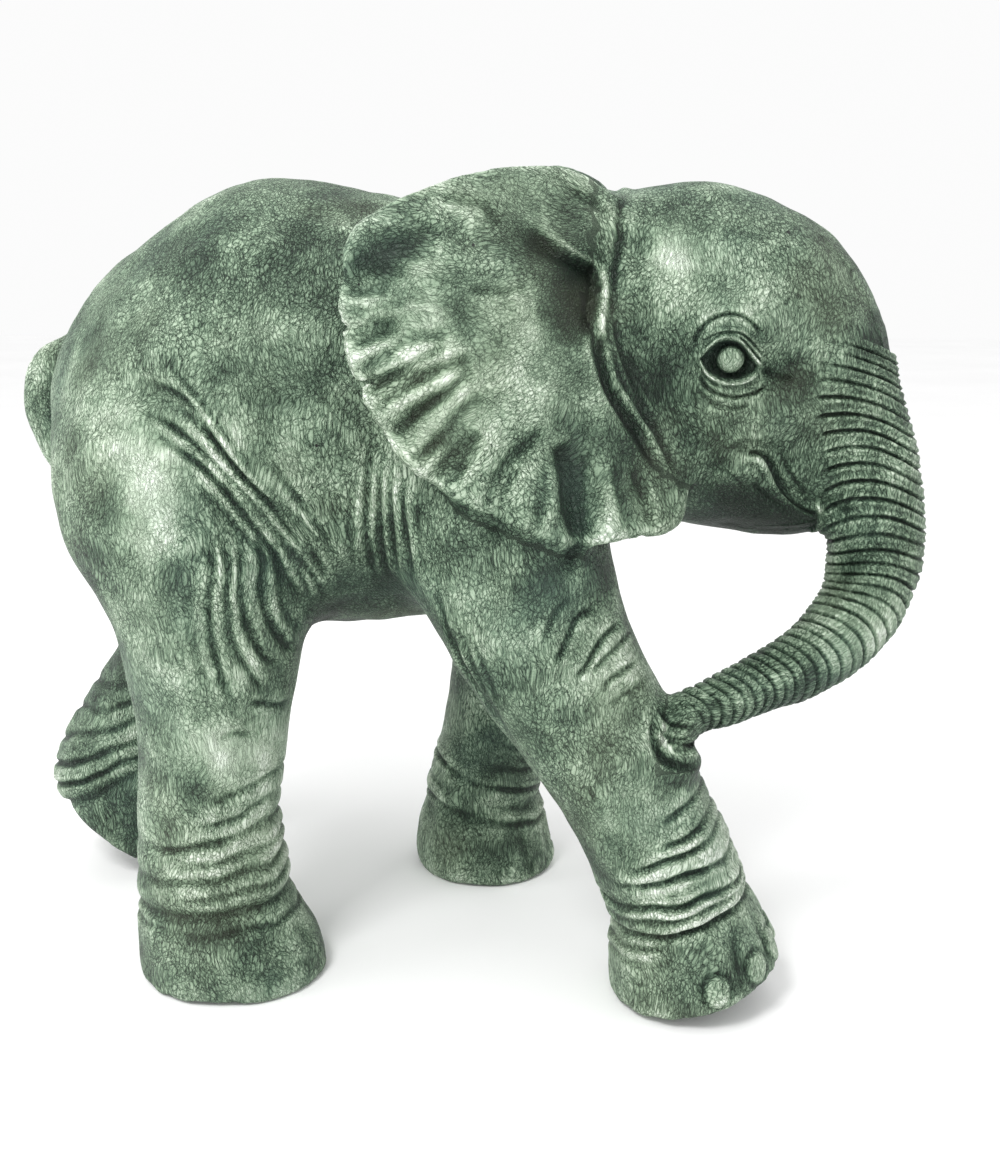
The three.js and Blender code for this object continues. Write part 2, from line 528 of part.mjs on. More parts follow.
// Edge collapse by quadric error, down to the number of triangles of the finished solid.
const thin = (P, F, target) => {
  const nv = P.length / 3, nf = F.length / 3;
  const Q = new Float64Array(10 * nv), stamp = new Int32Array(nv);
  const around = Array.from({ length: nv }, () => []);
  const alive = new Uint8Array(nf).fill(1);
  const normal = (a, b, c) => {
    const ux = P[3 * b] - P[3 * a], uy = P[3 * b + 1] - P[3 * a + 1], uz = P[3 * b + 2] - P[3 * a + 2];
    const vx = P[3 * c] - P[3 * a], vy = P[3 * c + 1] - P[3 * a + 1], vz = P[3 * c + 2] - P[3 * a + 2];
    return [uy * vz - uz * vy, uz * vx - ux * vz, ux * vy - uy * vx];
  };
  for (let f = 0; f < nf; f++) {
    const [x, y, z] = normal(F[3 * f], F[3 * f + 1], F[3 * f + 2]), size = Math.hypot(x, y, z);
    for (let c = 0; c < 3; c++) around[F[3 * f + c]].push(f);
    if (size < 1e-12) continue;
    const n = [x / size, y / size, z / size], care = size * carved(P, 3 * F[3 * f]);
    const w = -(n[0] * P[3 * F[3 * f]] + n[1] * P[3 * F[3 * f] + 1] + n[2] * P[3 * F[3 * f] + 2]);
    const q = [
      n[0] * n[0], n[0] * n[1], n[0] * n[2], n[0] * w, n[1] * n[1],
      n[1] * n[2], n[1] * w, n[2] * n[2], n[2] * w, w * w,
    ];
    for (let c = 0; c < 3; c++) for (let m = 0; m < 10; m++) Q[10 * F[3 * f + c] + m] += q[m] * care;
  }
  const q = new Float64Array(10);
  const error = (x, y, z) => q[0] * x * x + 2 * q[1] * x * y + 2 * q[2] * x * z + 2 * q[3] * x + q[4] * y * y
    + 2 * q[5] * y * z + 2 * q[6] * y + q[7] * z * z + 2 * q[8] * z + q[9];
  const best = [0, 0, 0];
  const judge = (a, b) => {
    for (let m = 0; m < 10; m++) q[m] = Q[10 * a + m] + Q[10 * b + m];
    const ax = P[3 * a], ay = P[3 * a + 1], az = P[3 * a + 2];
    const bx = P[3 * b], by = P[3 * b + 1], bz = P[3 * b + 2];
    const long = (ax - bx) ** 2 + (ay - by) ** 2 + (az - bz) ** 2;
    const c00 = q[4] * q[7] - q[5] * q[5], c01 = q[2] * q[5] - q[1] * q[7], c02 = q[1] * q[5] - q[2] * q[4];
    const det = q[0] * c00 + q[1] * c01 + q[2] * c02, scale = q[0] + q[4] + q[7];
    let cost = Infinity;
    if (det > 1e-5 * scale ** 3) {
      const c11 = q[0] * q[7] - q[2] * q[2], c12 = q[1] * q[2] - q[0] * q[5], c22 = q[0] * q[4] - q[1] * q[1];
      const x = -(c00 * q[3] + c01 * q[6] + c02 * q[8]) / det;
      const y = -(c01 * q[3] + c11 * q[6] + c12 * q[8]) / det;
      const z = -(c02 * q[3] + c12 * q[6] + c22 * q[8]) / det;
      const mx = (ax + bx) / 2, my = (ay + by) / 2, mz = (az + bz) / 2;
      if ((x - mx) ** 2 + (y - my) ** 2 + (z - mz) ** 2 < long) {
        cost = Math.max(0, error(x, y, z));
        best[0] = x;
        best[1] = y;
        best[2] = z;
      }
    }
    if (cost === Infinity) for (const t of [0, 0.5, 1]) {
      const x = ax + t * (bx - ax), y = ay + t * (by - ay), z = az + t * (bz - az);
      const e = Math.max(0, error(x, y, z));
      if (e < cost) {
        cost = e;
        best[0] = x;
        best[1] = y;
        best[2] = z;
      }
    }
    return cost + 1e-4 * long;
  };
  const heap = [];
  const push = (entry) => {
    let i = heap.push(entry) - 1;
    while (i > 0) {
      const up = (i - 1) >> 1;
      if (heap[up][0] <= entry[0]) break;
      heap[i] = heap[up];
      i = up;
    }
    heap[i] = entry;
  };
  const pop = () => {
    const top = heap[0], last = heap.pop();
    let i = 0;
    if (heap.length) {
      for (;;) {
        let c = 2 * i + 1;
        if (c >= heap.length) break;
        if (c + 1 < heap.length && heap[c + 1][0] < heap[c][0]) c++;
        if (heap[c][0] >= last[0]) break;
        heap[i] = heap[c];
        i = c;
      }
      heap[i] = last;
    }
    return top;
  };
  const offer = (a, b) => push([judge(a, b), a, b, stamp[a], stamp[b]]);
  for (let f = 0; f < nf; f++) for (let c = 0; c < 3; c++) {
    const a = F[3 * f + c], b = F[3 * f + ((c + 1) % 3)];
    if (a < b) offer(a, b);
  }
  const neighbours = (v) => {
    const out = new Set();
    for (const f of around[v]) for (let c = 0; c < 3; c++) if (F[3 * f + c] !== v) out.add(F[3 * f + c]);
    return out;
  };
  const flips = (v, other, to) => around[v].some((f) => {
    const t = [F[3 * f], F[3 * f + 1], F[3 * f + 2]];
    if (t.includes(other)) return false;
    const before = normal(...t), i = 3 * v, kept = [P[i], P[i + 1], P[i + 2]];
    [P[i], P[i + 1], P[i + 2]] = to;
    const after = normal(...t);
    [P[i], P[i + 1], P[i + 2]] = kept;
    const dot = before[0] * after[0] + before[1] * after[1] + before[2] * after[2];
    return dot <= 0.3 * Math.hypot(...before) * Math.hypot(...after) || Math.hypot(...after) < 1e-4;
  });
  let count = nf;
  while (count > target && heap.length) {
    const [, a, b, sa, sb] = pop();
    if (stamp[a] !== sa || stamp[b] !== sb) continue;
    const na = neighbours(a), nb = neighbours(b);
    let shared = 0;
    for (const n of na) if (nb.has(n)) shared++;
    if (shared !== 2) continue;
    judge(a, b);
    const to = [...best];
    if (flips(a, b, to) || flips(b, a, to)) continue;
    [P[3 * a], P[3 * a + 1], P[3 * a + 2]] = to;
    for (let m = 0; m < 10; m++) Q[10 * a + m] += Q[10 * b + m];
    const kept = [];
    for (const f of new Set([...around[a], ...around[b]])) {
      const t = [F[3 * f], F[3 * f + 1], F[3 * f + 2]];
      if (t.includes(a) && t.includes(b)) {
        alive[f] = 0;
        count--;
        for (const v of t) if (v !== a && v !== b) around[v].splice(around[v].indexOf(f), 1);
      } else {
        for (let c = 0; c < 3; c++) if (F[3 * f + c] === b) F[3 * f + c] = a;
        kept.push(f);
      }
    }
    around[a] = kept;
    around[b] = [];
    stamp[a]++;
    stamp[b] = -1;
    for (const n of neighbours(a)) offer(a, n);
  }
  for (let v = 2; v < P.length; v += 3) if (P[v] < GROUND + 0.12) P[v] = GROUND;
  const number = new Map(), positions = [], faces = [];
  for (let f = 0; f < nf; f++) if (alive[f]) for (let c = 0; c < 3; c++) {
    const v = F[3 * f + c];
    if (!number.has(v)) {
      number.set(v, positions.length / 3);
      positions.push(P[3 * v], P[3 * v + 1], P[3 * v + 2]);
    }
    faces.push(number.get(v));
  }
  return { positions, faces };
};

// The stone itself, at its real size.
const stone = new THREE.MeshStandardMaterial({ color: 0x7c8f7e, roughness: 0.88, metalness: 0 });
const block = march();
ease(block.positions, block.faces);
engrave(block.positions, block.faces);
const solid = thin(block.positions, block.faces, TRIANGLES);
const geometry = new THREE.BufferGeometry();
geometry.setAttribute("position", new THREE.Float32BufferAttribute(solid.positions, 3));
geometry.setIndex(solid.faces);
geometry.computeBoundingBox();
const { min, max } = geometry.boundingBox;
geometry.translate(-(min.x + max.x) / 2, -(min.y + max.y) / 2, -min.z);
const scale = HEIGHT / (max.z - min.z);
geometry.scale(scale, scale, scale);
geometry.computeVertexNormals();
const elephant = new THREE.Mesh(geometry, stone);
elephant.name = "elephant_statue";

const group = new THREE.Group();
group.add(elephant);
export default group;
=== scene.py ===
# Stone elephant calf for the garden, walking, with its trunk curled back to its near foreleg.
import bpy
import bmesh
import math
import numpy as np
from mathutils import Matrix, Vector, kdtree, noise


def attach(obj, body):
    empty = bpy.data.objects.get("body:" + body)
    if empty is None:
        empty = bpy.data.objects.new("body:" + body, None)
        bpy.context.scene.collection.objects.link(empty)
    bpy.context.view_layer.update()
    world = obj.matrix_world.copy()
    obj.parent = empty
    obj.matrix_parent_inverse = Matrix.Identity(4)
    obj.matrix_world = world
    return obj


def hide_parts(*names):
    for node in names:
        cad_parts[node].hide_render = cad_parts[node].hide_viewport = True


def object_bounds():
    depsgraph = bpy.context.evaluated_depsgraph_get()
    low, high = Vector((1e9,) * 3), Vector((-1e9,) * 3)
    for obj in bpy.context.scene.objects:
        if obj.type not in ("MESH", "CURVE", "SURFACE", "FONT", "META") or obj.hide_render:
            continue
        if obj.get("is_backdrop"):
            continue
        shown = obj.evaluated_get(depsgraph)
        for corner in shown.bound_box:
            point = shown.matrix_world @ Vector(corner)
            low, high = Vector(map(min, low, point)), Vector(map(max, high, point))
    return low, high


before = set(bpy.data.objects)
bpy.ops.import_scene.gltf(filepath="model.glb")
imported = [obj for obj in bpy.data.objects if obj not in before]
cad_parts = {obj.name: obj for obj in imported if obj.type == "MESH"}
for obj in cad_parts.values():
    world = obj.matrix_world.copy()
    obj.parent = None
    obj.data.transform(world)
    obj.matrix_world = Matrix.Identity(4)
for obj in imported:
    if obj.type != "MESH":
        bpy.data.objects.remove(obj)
cad_low, cad_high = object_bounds()

# Camera: on the near side, a little above the back, as the photograph was taken.
camera_data = bpy.data.cameras.new("camera")
camera_data.lens = 38.9
camera = bpy.data.objects.new("camera", camera_data)
camera.location = (0.0981, -0.818, 0.467)
camera.rotation_euler = (math.radians(75), 0, math.radians(4))
bpy.context.scene.collection.objects.link(camera)
bpy.context.scene.camera = camera

# Elephant. One casting of reconstituted stone, poured in a mould taken from a modelled calf: the folds, the
# trunk's rings, the eye and the nails are in the casting. It was washed with green pigment, which stayed in
# the hollows, and rubbed back with a pale coat on whatever stands proud.

# Places are given on a side view of the animal: x along it, z up, in units of about 5.26 mm, y across.
UNIT = 0.518 / 98.47
ORIGIN = np.array([-7.75, -0.3, 1.7])
HEAD_TURN = math.radians(7)
NECK_X = 8.0
GRID = 0.0019
TRIANGLES = 196000
rng = np.random.default_rng(7)


def step(low, high, value):
    t = np.clip((value - low) / (high - low), 0, 1)
    return t * t * (3 - 2 * t)


def spline(points, pieces=8):
    """Points of a smooth line through the given ones."""
    p = np.array(points, float)
    p = np.vstack([2 * p[0] - p[1], p, 2 * p[-1] - p[-2]])
    out = []
    for a, b, c, d in zip(p[:-3], p[1:-2], p[2:-1], p[3:]):
        for t in np.arange(pieces) / pieces:
            bend = (2 * a - 5 * b + 4 * c - d) * t**2 + (3 * b - a - 3 * c + d) * t**3
            out.append(0.5 * (2 * b + (c - a) * t + bend))
    return np.array(out + [p[-2]])


def to_line(q, line):
    """Squared distance from the points q to a line, and how far along it the nearest place is, from 0 to 1."""
    best, along = np.full(len(q), 1e9), np.zeros(len(q))
    for i, (a, b) in enumerate(zip(line[:-1], line[1:])):
        t = np.clip((q - a) @ (b - a) / ((b - a) @ (b - a)), 0, 1)
        d = ((q - a - t[:, None] * (b - a)) ** 2).sum(1)
        near = d < best
        best[near] = d[near]
        along[near] = (i + t[near]) / (len(line) - 1)
    return best, along


def crease(q, points, width, depth, weight, ends=0.22, shoulder=0.45):
    """Cuts a crease along a line of the side view, with a soft raised shoulder on both of its sides."""
    line = spline(points)
    low, high = line.min(0) - 5 * width, line.max(0) + 5 * width
    near = np.nonzero(((q > low) & (q < high)).all(1) & (weight > 0.01))[0]
    if not len(near):
        return
    d, along = to_line(q[near], line)
    taper = step(0, ends, along) * step(0, ends, 1 - along) if ends else 1.0
    groove = np.exp(-d / width**2) - shoulder * np.exp(-d / (2.6 * width) ** 2)
    cut[near] += depth * taper * groove * weight[near]


def numpy_mesh(mesh):
    places, edges = np.empty(3 * len(mesh.vertices), np.float32), np.empty(2 * len(mesh.edges), np.int32)
    mesh.vertices.foreach_get("co", places)
    mesh.edges.foreach_get("vertices", edges)
    return places.reshape(-1, 3).astype(float), edges.reshape(-1, 2)


def normals_of(mesh):
    n = np.empty(3 * len(mesh.vertices), np.float32)
    mesh.vertex_normals.foreach_get("vector", n)
    return n.reshape(-1, 3).astype(float)


def averaged(values, edges, rounds):
    """Each value mixed with its neighbours', round after round."""
    v = values.reshape(len(values), -1).astype(float)
    n, (a, b) = len(v), edges.T
    count = np.bincount(edges.ravel(), minlength=n)[:, None]
    for _ in range(rounds):
        near = np.stack([np.bincount(a, c[b], n) + np.bincount(b, c[a], n) for c in v.T], 1)
        v = 0.4 * v + 0.6 * near / count
    return v.reshape(values.shape)


def waves(p, length, count):
    """Soft random swelling with about the given wavelength."""
    turn = rng.normal(size=(count, 3))
    turn *= (2 * math.pi / (length * rng.uniform(0.7, 1.6, count)) / np.linalg.norm(turn, axis=1))[:, None]
    return np.sin(p @ turn.T + rng.uniform(0, 2 * math.pi, count)).sum(1) / math.sqrt(count)


def evaluated(piece, kind, **settings):
    """The piece's mesh after one modifier."""
    modifier = piece.modifiers.new(kind.lower(), kind)
    for key, value in settings.items():
        setattr(modifier, key, value)
    made = bpy.data.meshes.new_from_object(piece.evaluated_get(bpy.context.evaluated_depsgraph_get()))
    piece.modifiers.clear()
    piece.data = made
    return made


# The rounded form: the solid's own corners smoothed over on a fine even net.
bm = bmesh.new()
bm.from_mesh(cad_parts["elephant_statue"].data)
bmesh.ops.remove_doubles(bm, verts=bm.verts, dist=1e-5)
elephant_mesh = bpy.data.meshes.new("elephant")
bm.to_mesh(elephant_mesh)
bm.free()
elephant = bpy.data.objects.new("elephant", elephant_mesh)
bpy.context.scene.collection.objects.link(elephant)
evaluated(elephant, "SUBSURF", levels=2)
evaluated(elephant, "REMESH", mode="VOXEL", voxel_size=GRID)
P, edges = numpy_mesh(elephant.data)
sole = P[:, 2] < 0.0015
eased = P
for i in range(14):
    eased = eased + (0.6 if i % 2 == 0 else -0.63) * (averaged(eased, edges, 1) - eased) / 0.6
P = np.where(sole[:, None], P, eased)
elephant.data.vertices.foreach_set("co", P.ravel().astype(np.float32))


def carved_finely(v):
    """The face and the trunk."""
    x, y, z = v.co / UNIT
    x, z = x + ORIGIN[0], z + ORIGIN[2]
    mouth = 26 < x < 44 and 57 < z < 72
    nose = x > 35.5 and z > 30 or (x > 20 and 30 < z < 46 and y < -9 and x - 20 > (38 - z) * 0.2)
    return mouth or nose or round_the_eye(v)


def round_the_eye(v):
    return math.hypot(v.co[0] / UNIT + ORIGIN[0] - 28.8, v.co[2] / UNIT + ORIGIN[2] - 78.4) < 6.6


# A closer net where the carving is finest.
bm = bmesh.new()
bm.from_mesh(elephant.data)
for chosen_by in ((carved_finely, round_the_eye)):
    chosen = {v for v in bm.verts if chosen_by(v)}
    within = [e for e in bm.edges if e.verts[0] in chosen and e.verts[1] in chosen]
    bmesh.ops.subdivide_edges(bm, edges=within, cuts=1, use_grid_fill=True)
bm.to_mesh(elephant.data)
bm.free()
P, edges = numpy_mesh(elephant.data)


def in_head(d):
    """Side-view coordinates in the frame of the turned head."""
    across, along = math.sin(HEAD_TURN), math.cos(HEAD_TURN)
    ahead = d[:, 0] - NECK_X
    return np.stack([NECK_X + ahead * along - d[:, 1] * across, ahead * across + d[:, 1] * along, d[:, 2]], 1)


# The solid's own eyes are levelled first, so that they can be carved anew in more detail.
EYE = np.array([28.1, 78.4])
EYE_RING = (3.0, 3.9, 6.5)
heads = in_head(P / UNIT + ORIGIN)
e = heads[:, [0, 2]] - EYE
for sign in (-1, 1):
    bowl = np.stack([np.ones(len(e)), *e.T, e[:, 0] ** 2, e[:, 1] ** 2, e[:, 0] * e[:, 1]], 1)
    far = np.where(heads[:, 1] * sign > 4, np.hypot(*e.T), 99)
    ring, inner = (far > EYE_RING[1]) & (far < EYE_RING[2]), far < EYE_RING[1]
    level_y = bowl[inner] @ np.linalg.lstsq(bowl[ring], P[ring, 1], rcond=None)[0]
    P[inner, 1] += step(EYE_RING[1], EYE_RING[0], far[inner]) * (level_y - P[inner, 1])
elephant.data.vertices.foreach_set("co", P.ravel().astype(np.float32))
elephant.data.update()
N = averaged(normals_of(elephant.data), edges, 6)
N /= np.linalg.norm(N, axis=1)[:, None]

# Side-view coordinates of every point, in the body's frame and in the head's.
D = P / UNIT + ORIGIN
heads = in_head(D)
(x, y, z), (hx, hy) = D.T, heads[:, :2].T
side, head_side = np.stack([x, z], 1), np.stack([hx, z], 1)
facing = step(0.1, 0.45, np.abs(N[:, 1]))

# The trunk's middle line in the head's frame, with its half length along the side view.
TRUNK = [
    (32, 0, 82, 10.4), (37.8, 0, 77.6, 8.8), (41.4, 0, 72, 7), (44, 0, 66, 6.3), (45.7, 0.4, 59.5, 5.9),
    (46, -0.4, 53.6, 5.7), (44.7, -2, 48.4, 5.2), (41.3, -4.6, 44.5, 4.8), (36.9, -7.6, 41.8, 4.1),
    (32.2, -10.6, 40.2, 3.5), (28, -13.4, 39, 3.1), (24.8, -15.6, 38, 2.8), (22.9, -17.4, 35.8, 2.8),
    (23.4, -18, 32.8, 3.8),
]
trunk_rows = spline(TRUNK, 6)
trunk_line = trunk_rows[:, :3]
trunk_runs = np.concatenate([[0], np.cumsum(np.linalg.norm(np.diff(trunk_line, axis=0), axis=1))])


def on_trunk(q):
    """For points in the head's frame: the way along the trunk, its place between the back and the front of the
    section, the angle round it, the half length there, and how far out the point lies in that length."""
    d, along = to_line(q, trunk_line)
    i, stations = along * (len(trunk_line) - 1), np.arange(len(trunk_line))
    centre = np.stack([np.interp(i, stations, c) for c in trunk_line.T], 1)
    run, half = np.interp(i, stations, trunk_runs), np.interp(i, stations, trunk_rows[:, 3])
    t = np.stack([np.interp(i, stations, c) for c in np.gradient(trunk_line, axis=0).T], 1)
    out = np.stack([-t[:, 2], np.zeros(len(t)), t[:, 0]], 1)
    out /= np.linalg.norm(out, axis=1)[:, None]
    across = ((q - centre) * out).sum(1) / half
    return run, across, np.arctan2(q[:, 1] - centre[:, 1], across * half), half, np.sqrt(d) / half


EAR = [
    (14.1, 94.8), (10.6, 97.8), (5, 99.1), (-2, 98.1), (-7, 96.4), (-12, 94), (-14.8, 90.6), (-15.2, 84),
    (-13.8, 77.4), (-10.4, 70.6), (-5.9, 66.2), (-1, 63.2), (4.5, 60.8), (9.5, 58.8), (14, 59.4), (21.2, 59.8),
    (21.8, 64.4), (18.4, 70.4), (15.4, 76.8), (14.1, 80), (13.3, 83), (13.2, 85.6), (13.6, 88.6), (14.1, 94.8),
]
EAR_LIFT = 1.2


def on_ear(q, across):
    """Whether points lie on an ear's outer face or its rim, and how far inside the rim."""
    rim = spline(EAR, 4)
    inside = np.zeros(len(q), bool)
    for a, b in zip(rim[:-1], rim[1:]):
        span = (a[1] > q[:, 1]) != (b[1] > q[:, 1])
        inside ^= span & (q[:, 0] < (b[0] - a[0]) * (q[:, 1] - a[1]) / (b[1] - a[1] + 1e-12) + a[0])
    edge, _ = to_line(q, rim)
    behind = 14 + 0.5 * (84 - q[:, 1]) - q[:, 0]
    grown = 1 - np.exp(-(behind + np.hypot(behind, 4)) / 2 / 11.5)
    high, low = np.clip((q[:, 1] - 78) / 21, 0, 1) ** 2, np.clip((70 - q[:, 1]) / 12, 0, 1)
    stand = 9.4 - 3.5 * high + (16.6 - 5 * high + low) * grown
    return (inside | (edge < 1.2)) & (np.abs(across) > stand - 1.6), np.sqrt(edge) * np.where(inside, 1, -1)


trunk_run, trunk_across, trunk_angle, trunk_half, trunk_far = on_trunk(heads)
is_trunk = (trunk_far < np.where((z < 41) & (hx < 27), 1.12, 1.35)) & (hx > 21) & (z > 33) & ((z > 50) | (y < 4))
ear_q = side - np.stack([np.zeros(len(y)), np.where(y > 0, EAR_LIFT, 0)], 1)
is_ear, ear_in = on_ear(ear_q, y)
cut = np.zeros(len(P))
not_ear = np.where(is_ear, 0.0, 1.0)

# Skin folds of the body, from the flank down to the groin, on the thigh and behind the foreleg.
body = facing * not_ear
near_body = body * (y < 0)
FLANK = [
    ([(-38.2, 76.9), (-31.7, 74.1), (-26.7, 66.9), (-20.6, 59.8), (-18.0, 50.8)], 0.6),
    ([(-38.6, 74.6), (-31.8, 70.3), (-25.6, 63.8), (-20.3, 54.7), (-19.5, 49.7)], 0.6),
    ([(-36.0, 71.6), (-29.7, 66.5), (-24.4, 58.6), (-21.4, 49.4)], 0.7),
    ([(-36.5, 80.6), (-30.3, 74.2), (-25.0, 66.5), (-19.7, 59.7), (-17.0, 52.8)], 0.4),
    ([(-23.7, 68.6), (-19.4, 61.5), (-16.6, 54.2)], 0.4),
    ([(-36.8, 75.8), (-30.4, 71.8), (-25.4, 65.2), (-20, 57), (-18.8, 50.4)], 0.34),
    ([(-33.6, 74.9), (-28.6, 69.4), (-23.2, 62.4), (-18.8, 53.2)], 0.4),
    ([(-34.4, 71.4), (-27.8, 65.2), (-22.2, 57.2), (-20.4, 49.6)], 0.38),
    ([(-32.2, 67.4), (-27.6, 61.2), (-23.6, 54.8), (-22, 48.4)], 0.3),
]
for points, depth in FLANK:
    crease(side, points, 0.42, depth, body)
THIGH = [
    ([(-30.6, 61.5), (-29.8, 56.5), (-30.4, 52.8), (-30.5, 48.1), (-29.8, 43.2), (-28.5, 38.6)], 0.5),
    ([(-28.9, 61), (-28.2, 56.4), (-28.6, 52.7), (-28.4, 47.9), (-26.9, 43.4), (-25.5, 39.7)], 0.6),
    ([(-27.2, 60.6), (-27.0, 57.1), (-27.2, 53.7), (-26.8, 49.5), (-25.6, 45.6), (-23.8, 42.7)], 0.6),
    ([(-25.4, 60.4), (-25.0, 56.7), (-25.2, 53.3), (-24.7, 49.7), (-23.4, 46.1), (-22.6, 44)], 0.6),
    ([(-23.8, 59), (-23.5, 55.6), (-23.6, 52.3), (-22.8, 49), (-21.8, 46.8)], 0.45),
    ([(-32.4, 55.4), (-32.8, 50.6), (-32.4, 45.8), (-31.2, 42)], 0.22),
    ([(-29.2, 54.4), (-29.3, 49.6), (-28.2, 44.8), (-26.6, 40.8)], 0.25),
]
for points, depth in THIGH:
    crease(side, points, 0.42, depth, near_body, ends=0.18)
BELLY = [
    ([(-12.8, 70.5), (-13.1, 65.2), (-13.7, 59.6), (-13.4, 51.6)], 0.6), ([(-7, 65), (-7.6, 60.4), (-7, 56)], 0.3),
    ([(-11.5, 68.8), (-11.9, 63.4), (-12.1, 57.5), (-11.7, 52.2)], 0.55),
    ([(-10.3, 68.0), (-10.7, 63.4), (-10.7, 58.7), (-10.3, 52.6)], 0.5),
    ([(-8.5, 66.8), (-9.3, 63.6), (-8.9, 59.1), (-8.4, 54.4)], 0.55),
    ([(-14.6, 66.8), (-15.3, 61), (-15.8, 55.6)], 0.3),
]
for points, depth in BELLY:
    crease(side, points, 0.4, depth, body)
FORELEG = [
    ([(-4.0, 49.7), (-2.6, 44.7), (0.4, 40.0), (3.3, 34.3)], 0.34), ([(-1.6, 49.4), (0.2, 44.3), (1.9, 39.1)], 0.3),
    ([(-3.0, 50.2), (-1.2, 44.5), (1.2, 39.5), (3.8, 34.4)], 0.34), ([(-5.4, 54), (-4.4, 49), (-2.2, 43.4)], 0.34),
    ([(9.6, 44.4), (11.2, 46.0), (13.0, 48.8), (15.3, 49.7)], 0.6), ([(7.6, 46), (8.6, 48), (10, 51.1), (12.2, 52.1)], 0.6),
    ([(11.4, 44.8), (13.0, 46.4), (15.3, 47.8), (17, 48.2)], 0.5), ([(12.8, 43.4), (14.6, 44.6), (17.4, 45.4)], 0.5),
    ([(6.4, 48.6), (7.4, 51.4), (9.4, 54)], 0.35), ([(13.6, 41.2), (15.8, 42.4), (18.4, 43)], 0.3),
    ([(-27.4, 39.8), (-26.1, 39.5), (-24.6, 38.4), (-23.6, 38)], 0.5), ([(-31, 35.6), (-29, 36.2), (-27, 35.4)], 0.3),
]
for points, depth in FORELEG:
    crease(side, points, 0.38, depth, near_body)

# Rolls of skin round the legs: the leg's side, the roll's place and slope, its depth, and where it fades.
ROLLS = [
    (-1, -34.6, 10.8, 0.00, 0.35, -60, -20), (-1, -34.6, 13.0, 0.04, 0.2, -60, -20),
    (-1, -34.6, 15.2, 0.07, 0.4, -38, -20), (-1, -34.6, 17.4, 0.10, 0.35, -42, -20),
    (-1, -34.6, 19.6, 0.13, 0.45, -36, -20), (-1, -34.6, 22.0, 0.16, 0.4, -40, -20),
    (-1, -34.6, 24.4, 0.20, 0.4, -34, -20), (-1, -34.6, 27.2, 0.24, 0.3, -32, -20),
    (-1, 23.0, 14.2, 0.29, 0.5, 5, 45), (-1, 22.0, 17.3, 0.22, 0.8, 12, 45), (-1, 22.0, 20.5, 0.22, 0.9, 15, 45),
    (-1, 23.4, 23.7, 0.34, 0.9, 17, 45), (-1, 23.3, 25.8, 0.41, 0.7, 20, 45), (-1, 18.4, 11.2, 0.45, 0.6, 5, 21),
    (-1, 22.0, 15.8, 0.26, 0.5, 14, 45), (-1, 22, 28.6, 0.4, 0.6, 20, 45), (-1, 18.4, 9.4, 0.42, 0.4, 5, 19),
    (1, -1.0, 11.2, -0.2, 0.5, -20, 20), (1, -1.0, 13.2, -0.3, 0.25, -20, 20), (1, -1.0, 16.4, -0.35, 0.6, -20, 20),
    (1, -1.0, 19.6, -0.3, 0.35, -2, 20), (1, -1.0, 23.2, -0.25, 0.3, -1, 20),
    (1, -57.0, 15.5, 0.5, 0.2, -80, -40), (1, -55.8, 18.8, 0.44, 0.6, -80, -44), (1, -54.6, 22.0, 0.4, 0.6, -80, -44),
    (1, -53.4, 25.4, 0.36, 0.5, -80, -43), (1, -52.0, 28.8, 0.3, 0.4, -80, -42), (1, -50.2, 32.2, 0.26, 0.3, -80, -42),
]
wobble = 0.3 * waves(D, 9, 10) + 0.09 * waves(D, 4, 10)
broken = np.clip(1.1 + 0.4 * waves(D, 12, 10), 0.4, 1.6)
for sign, at_x, at_z, slope, depth, start, end in ROLLS:
    near = np.nonzero((y * sign > 3) & (np.abs(x - at_x) < 15) & (z < 40))[0]
    off = z[near] - at_z - slope * (x[near] - at_x) - wobble[near]
    fade = step(start - 1.5, start + 2.5, x[near]) * step(end + 1.5, end - 2.5, x[near]) * broken[near]
    cut[near] += depth * fade * (np.exp(-((off / 0.5) ** 2)) - 0.5 * np.exp(-((off / 1.3) ** 2)))

# Toes: the foot's middle and half lengths, the nails' height and slope and how plain they are, and their places.
FEET = [
    (25.2, -16.4, 10.9, 10.0, 7.0, 0.3, 1.0, (-80, -48, -18, 14, 44)),
    (-33.0, -15.2, 11.6, 9.9, 3.6, 0, 0.3, (-64, -32, 0, 32, 64)),
    (-3.2, 16.2, 10.3, 9.8, 3.4, 0, 0.6, (-66, -34, -2, 30, 62)),
    (-56.2, 14.3, 10.6, 9.2, 6.2, -0.3, 0.9, (-60, -24, 12, 48)),
]
for at_x, at_y, long, wide, at_z, slope, plain, angles in FEET:
    for angle in angles:
        a = math.radians(angle)
        centre = np.array([at_x + long * math.cos(a), at_y + wide * math.sin(a), at_z + slope * long * math.cos(a)])
        near = np.nonzero(np.abs(D - centre).max(1) < 4.5)[0]
        off = D[near] - centre
        tall = off[:, 2] * np.where(off[:, 2] > 0, 1, 0.7)
        out = np.hypot(-off[:, 0] * math.sin(a) + off[:, 1] * math.cos(a), tall)
        cut[near] += plain * (0.3 * np.exp(-(((out - 1.8) / 0.3) ** 2)) - 0.14 * step(2.0, 1.0, out))
        if angle == angles[-1]:
            continue
        lane = np.nonzero((np.hypot(x - at_x, y - at_y) > 6) & (np.abs(z - at_z - 3.5) < 5) & (y * at_y > 0))[0]
        turn = np.arctan2((y[lane] - at_y) / wide, (x[lane] - at_x) / long) - math.radians(angle + 16)
        cleft = np.exp(-((turn / 0.08) ** 2)) * step(4.8, 1.5, np.abs(z[lane] - at_z - 3.2))
        cut[lane] += 0.4 * plain * cleft

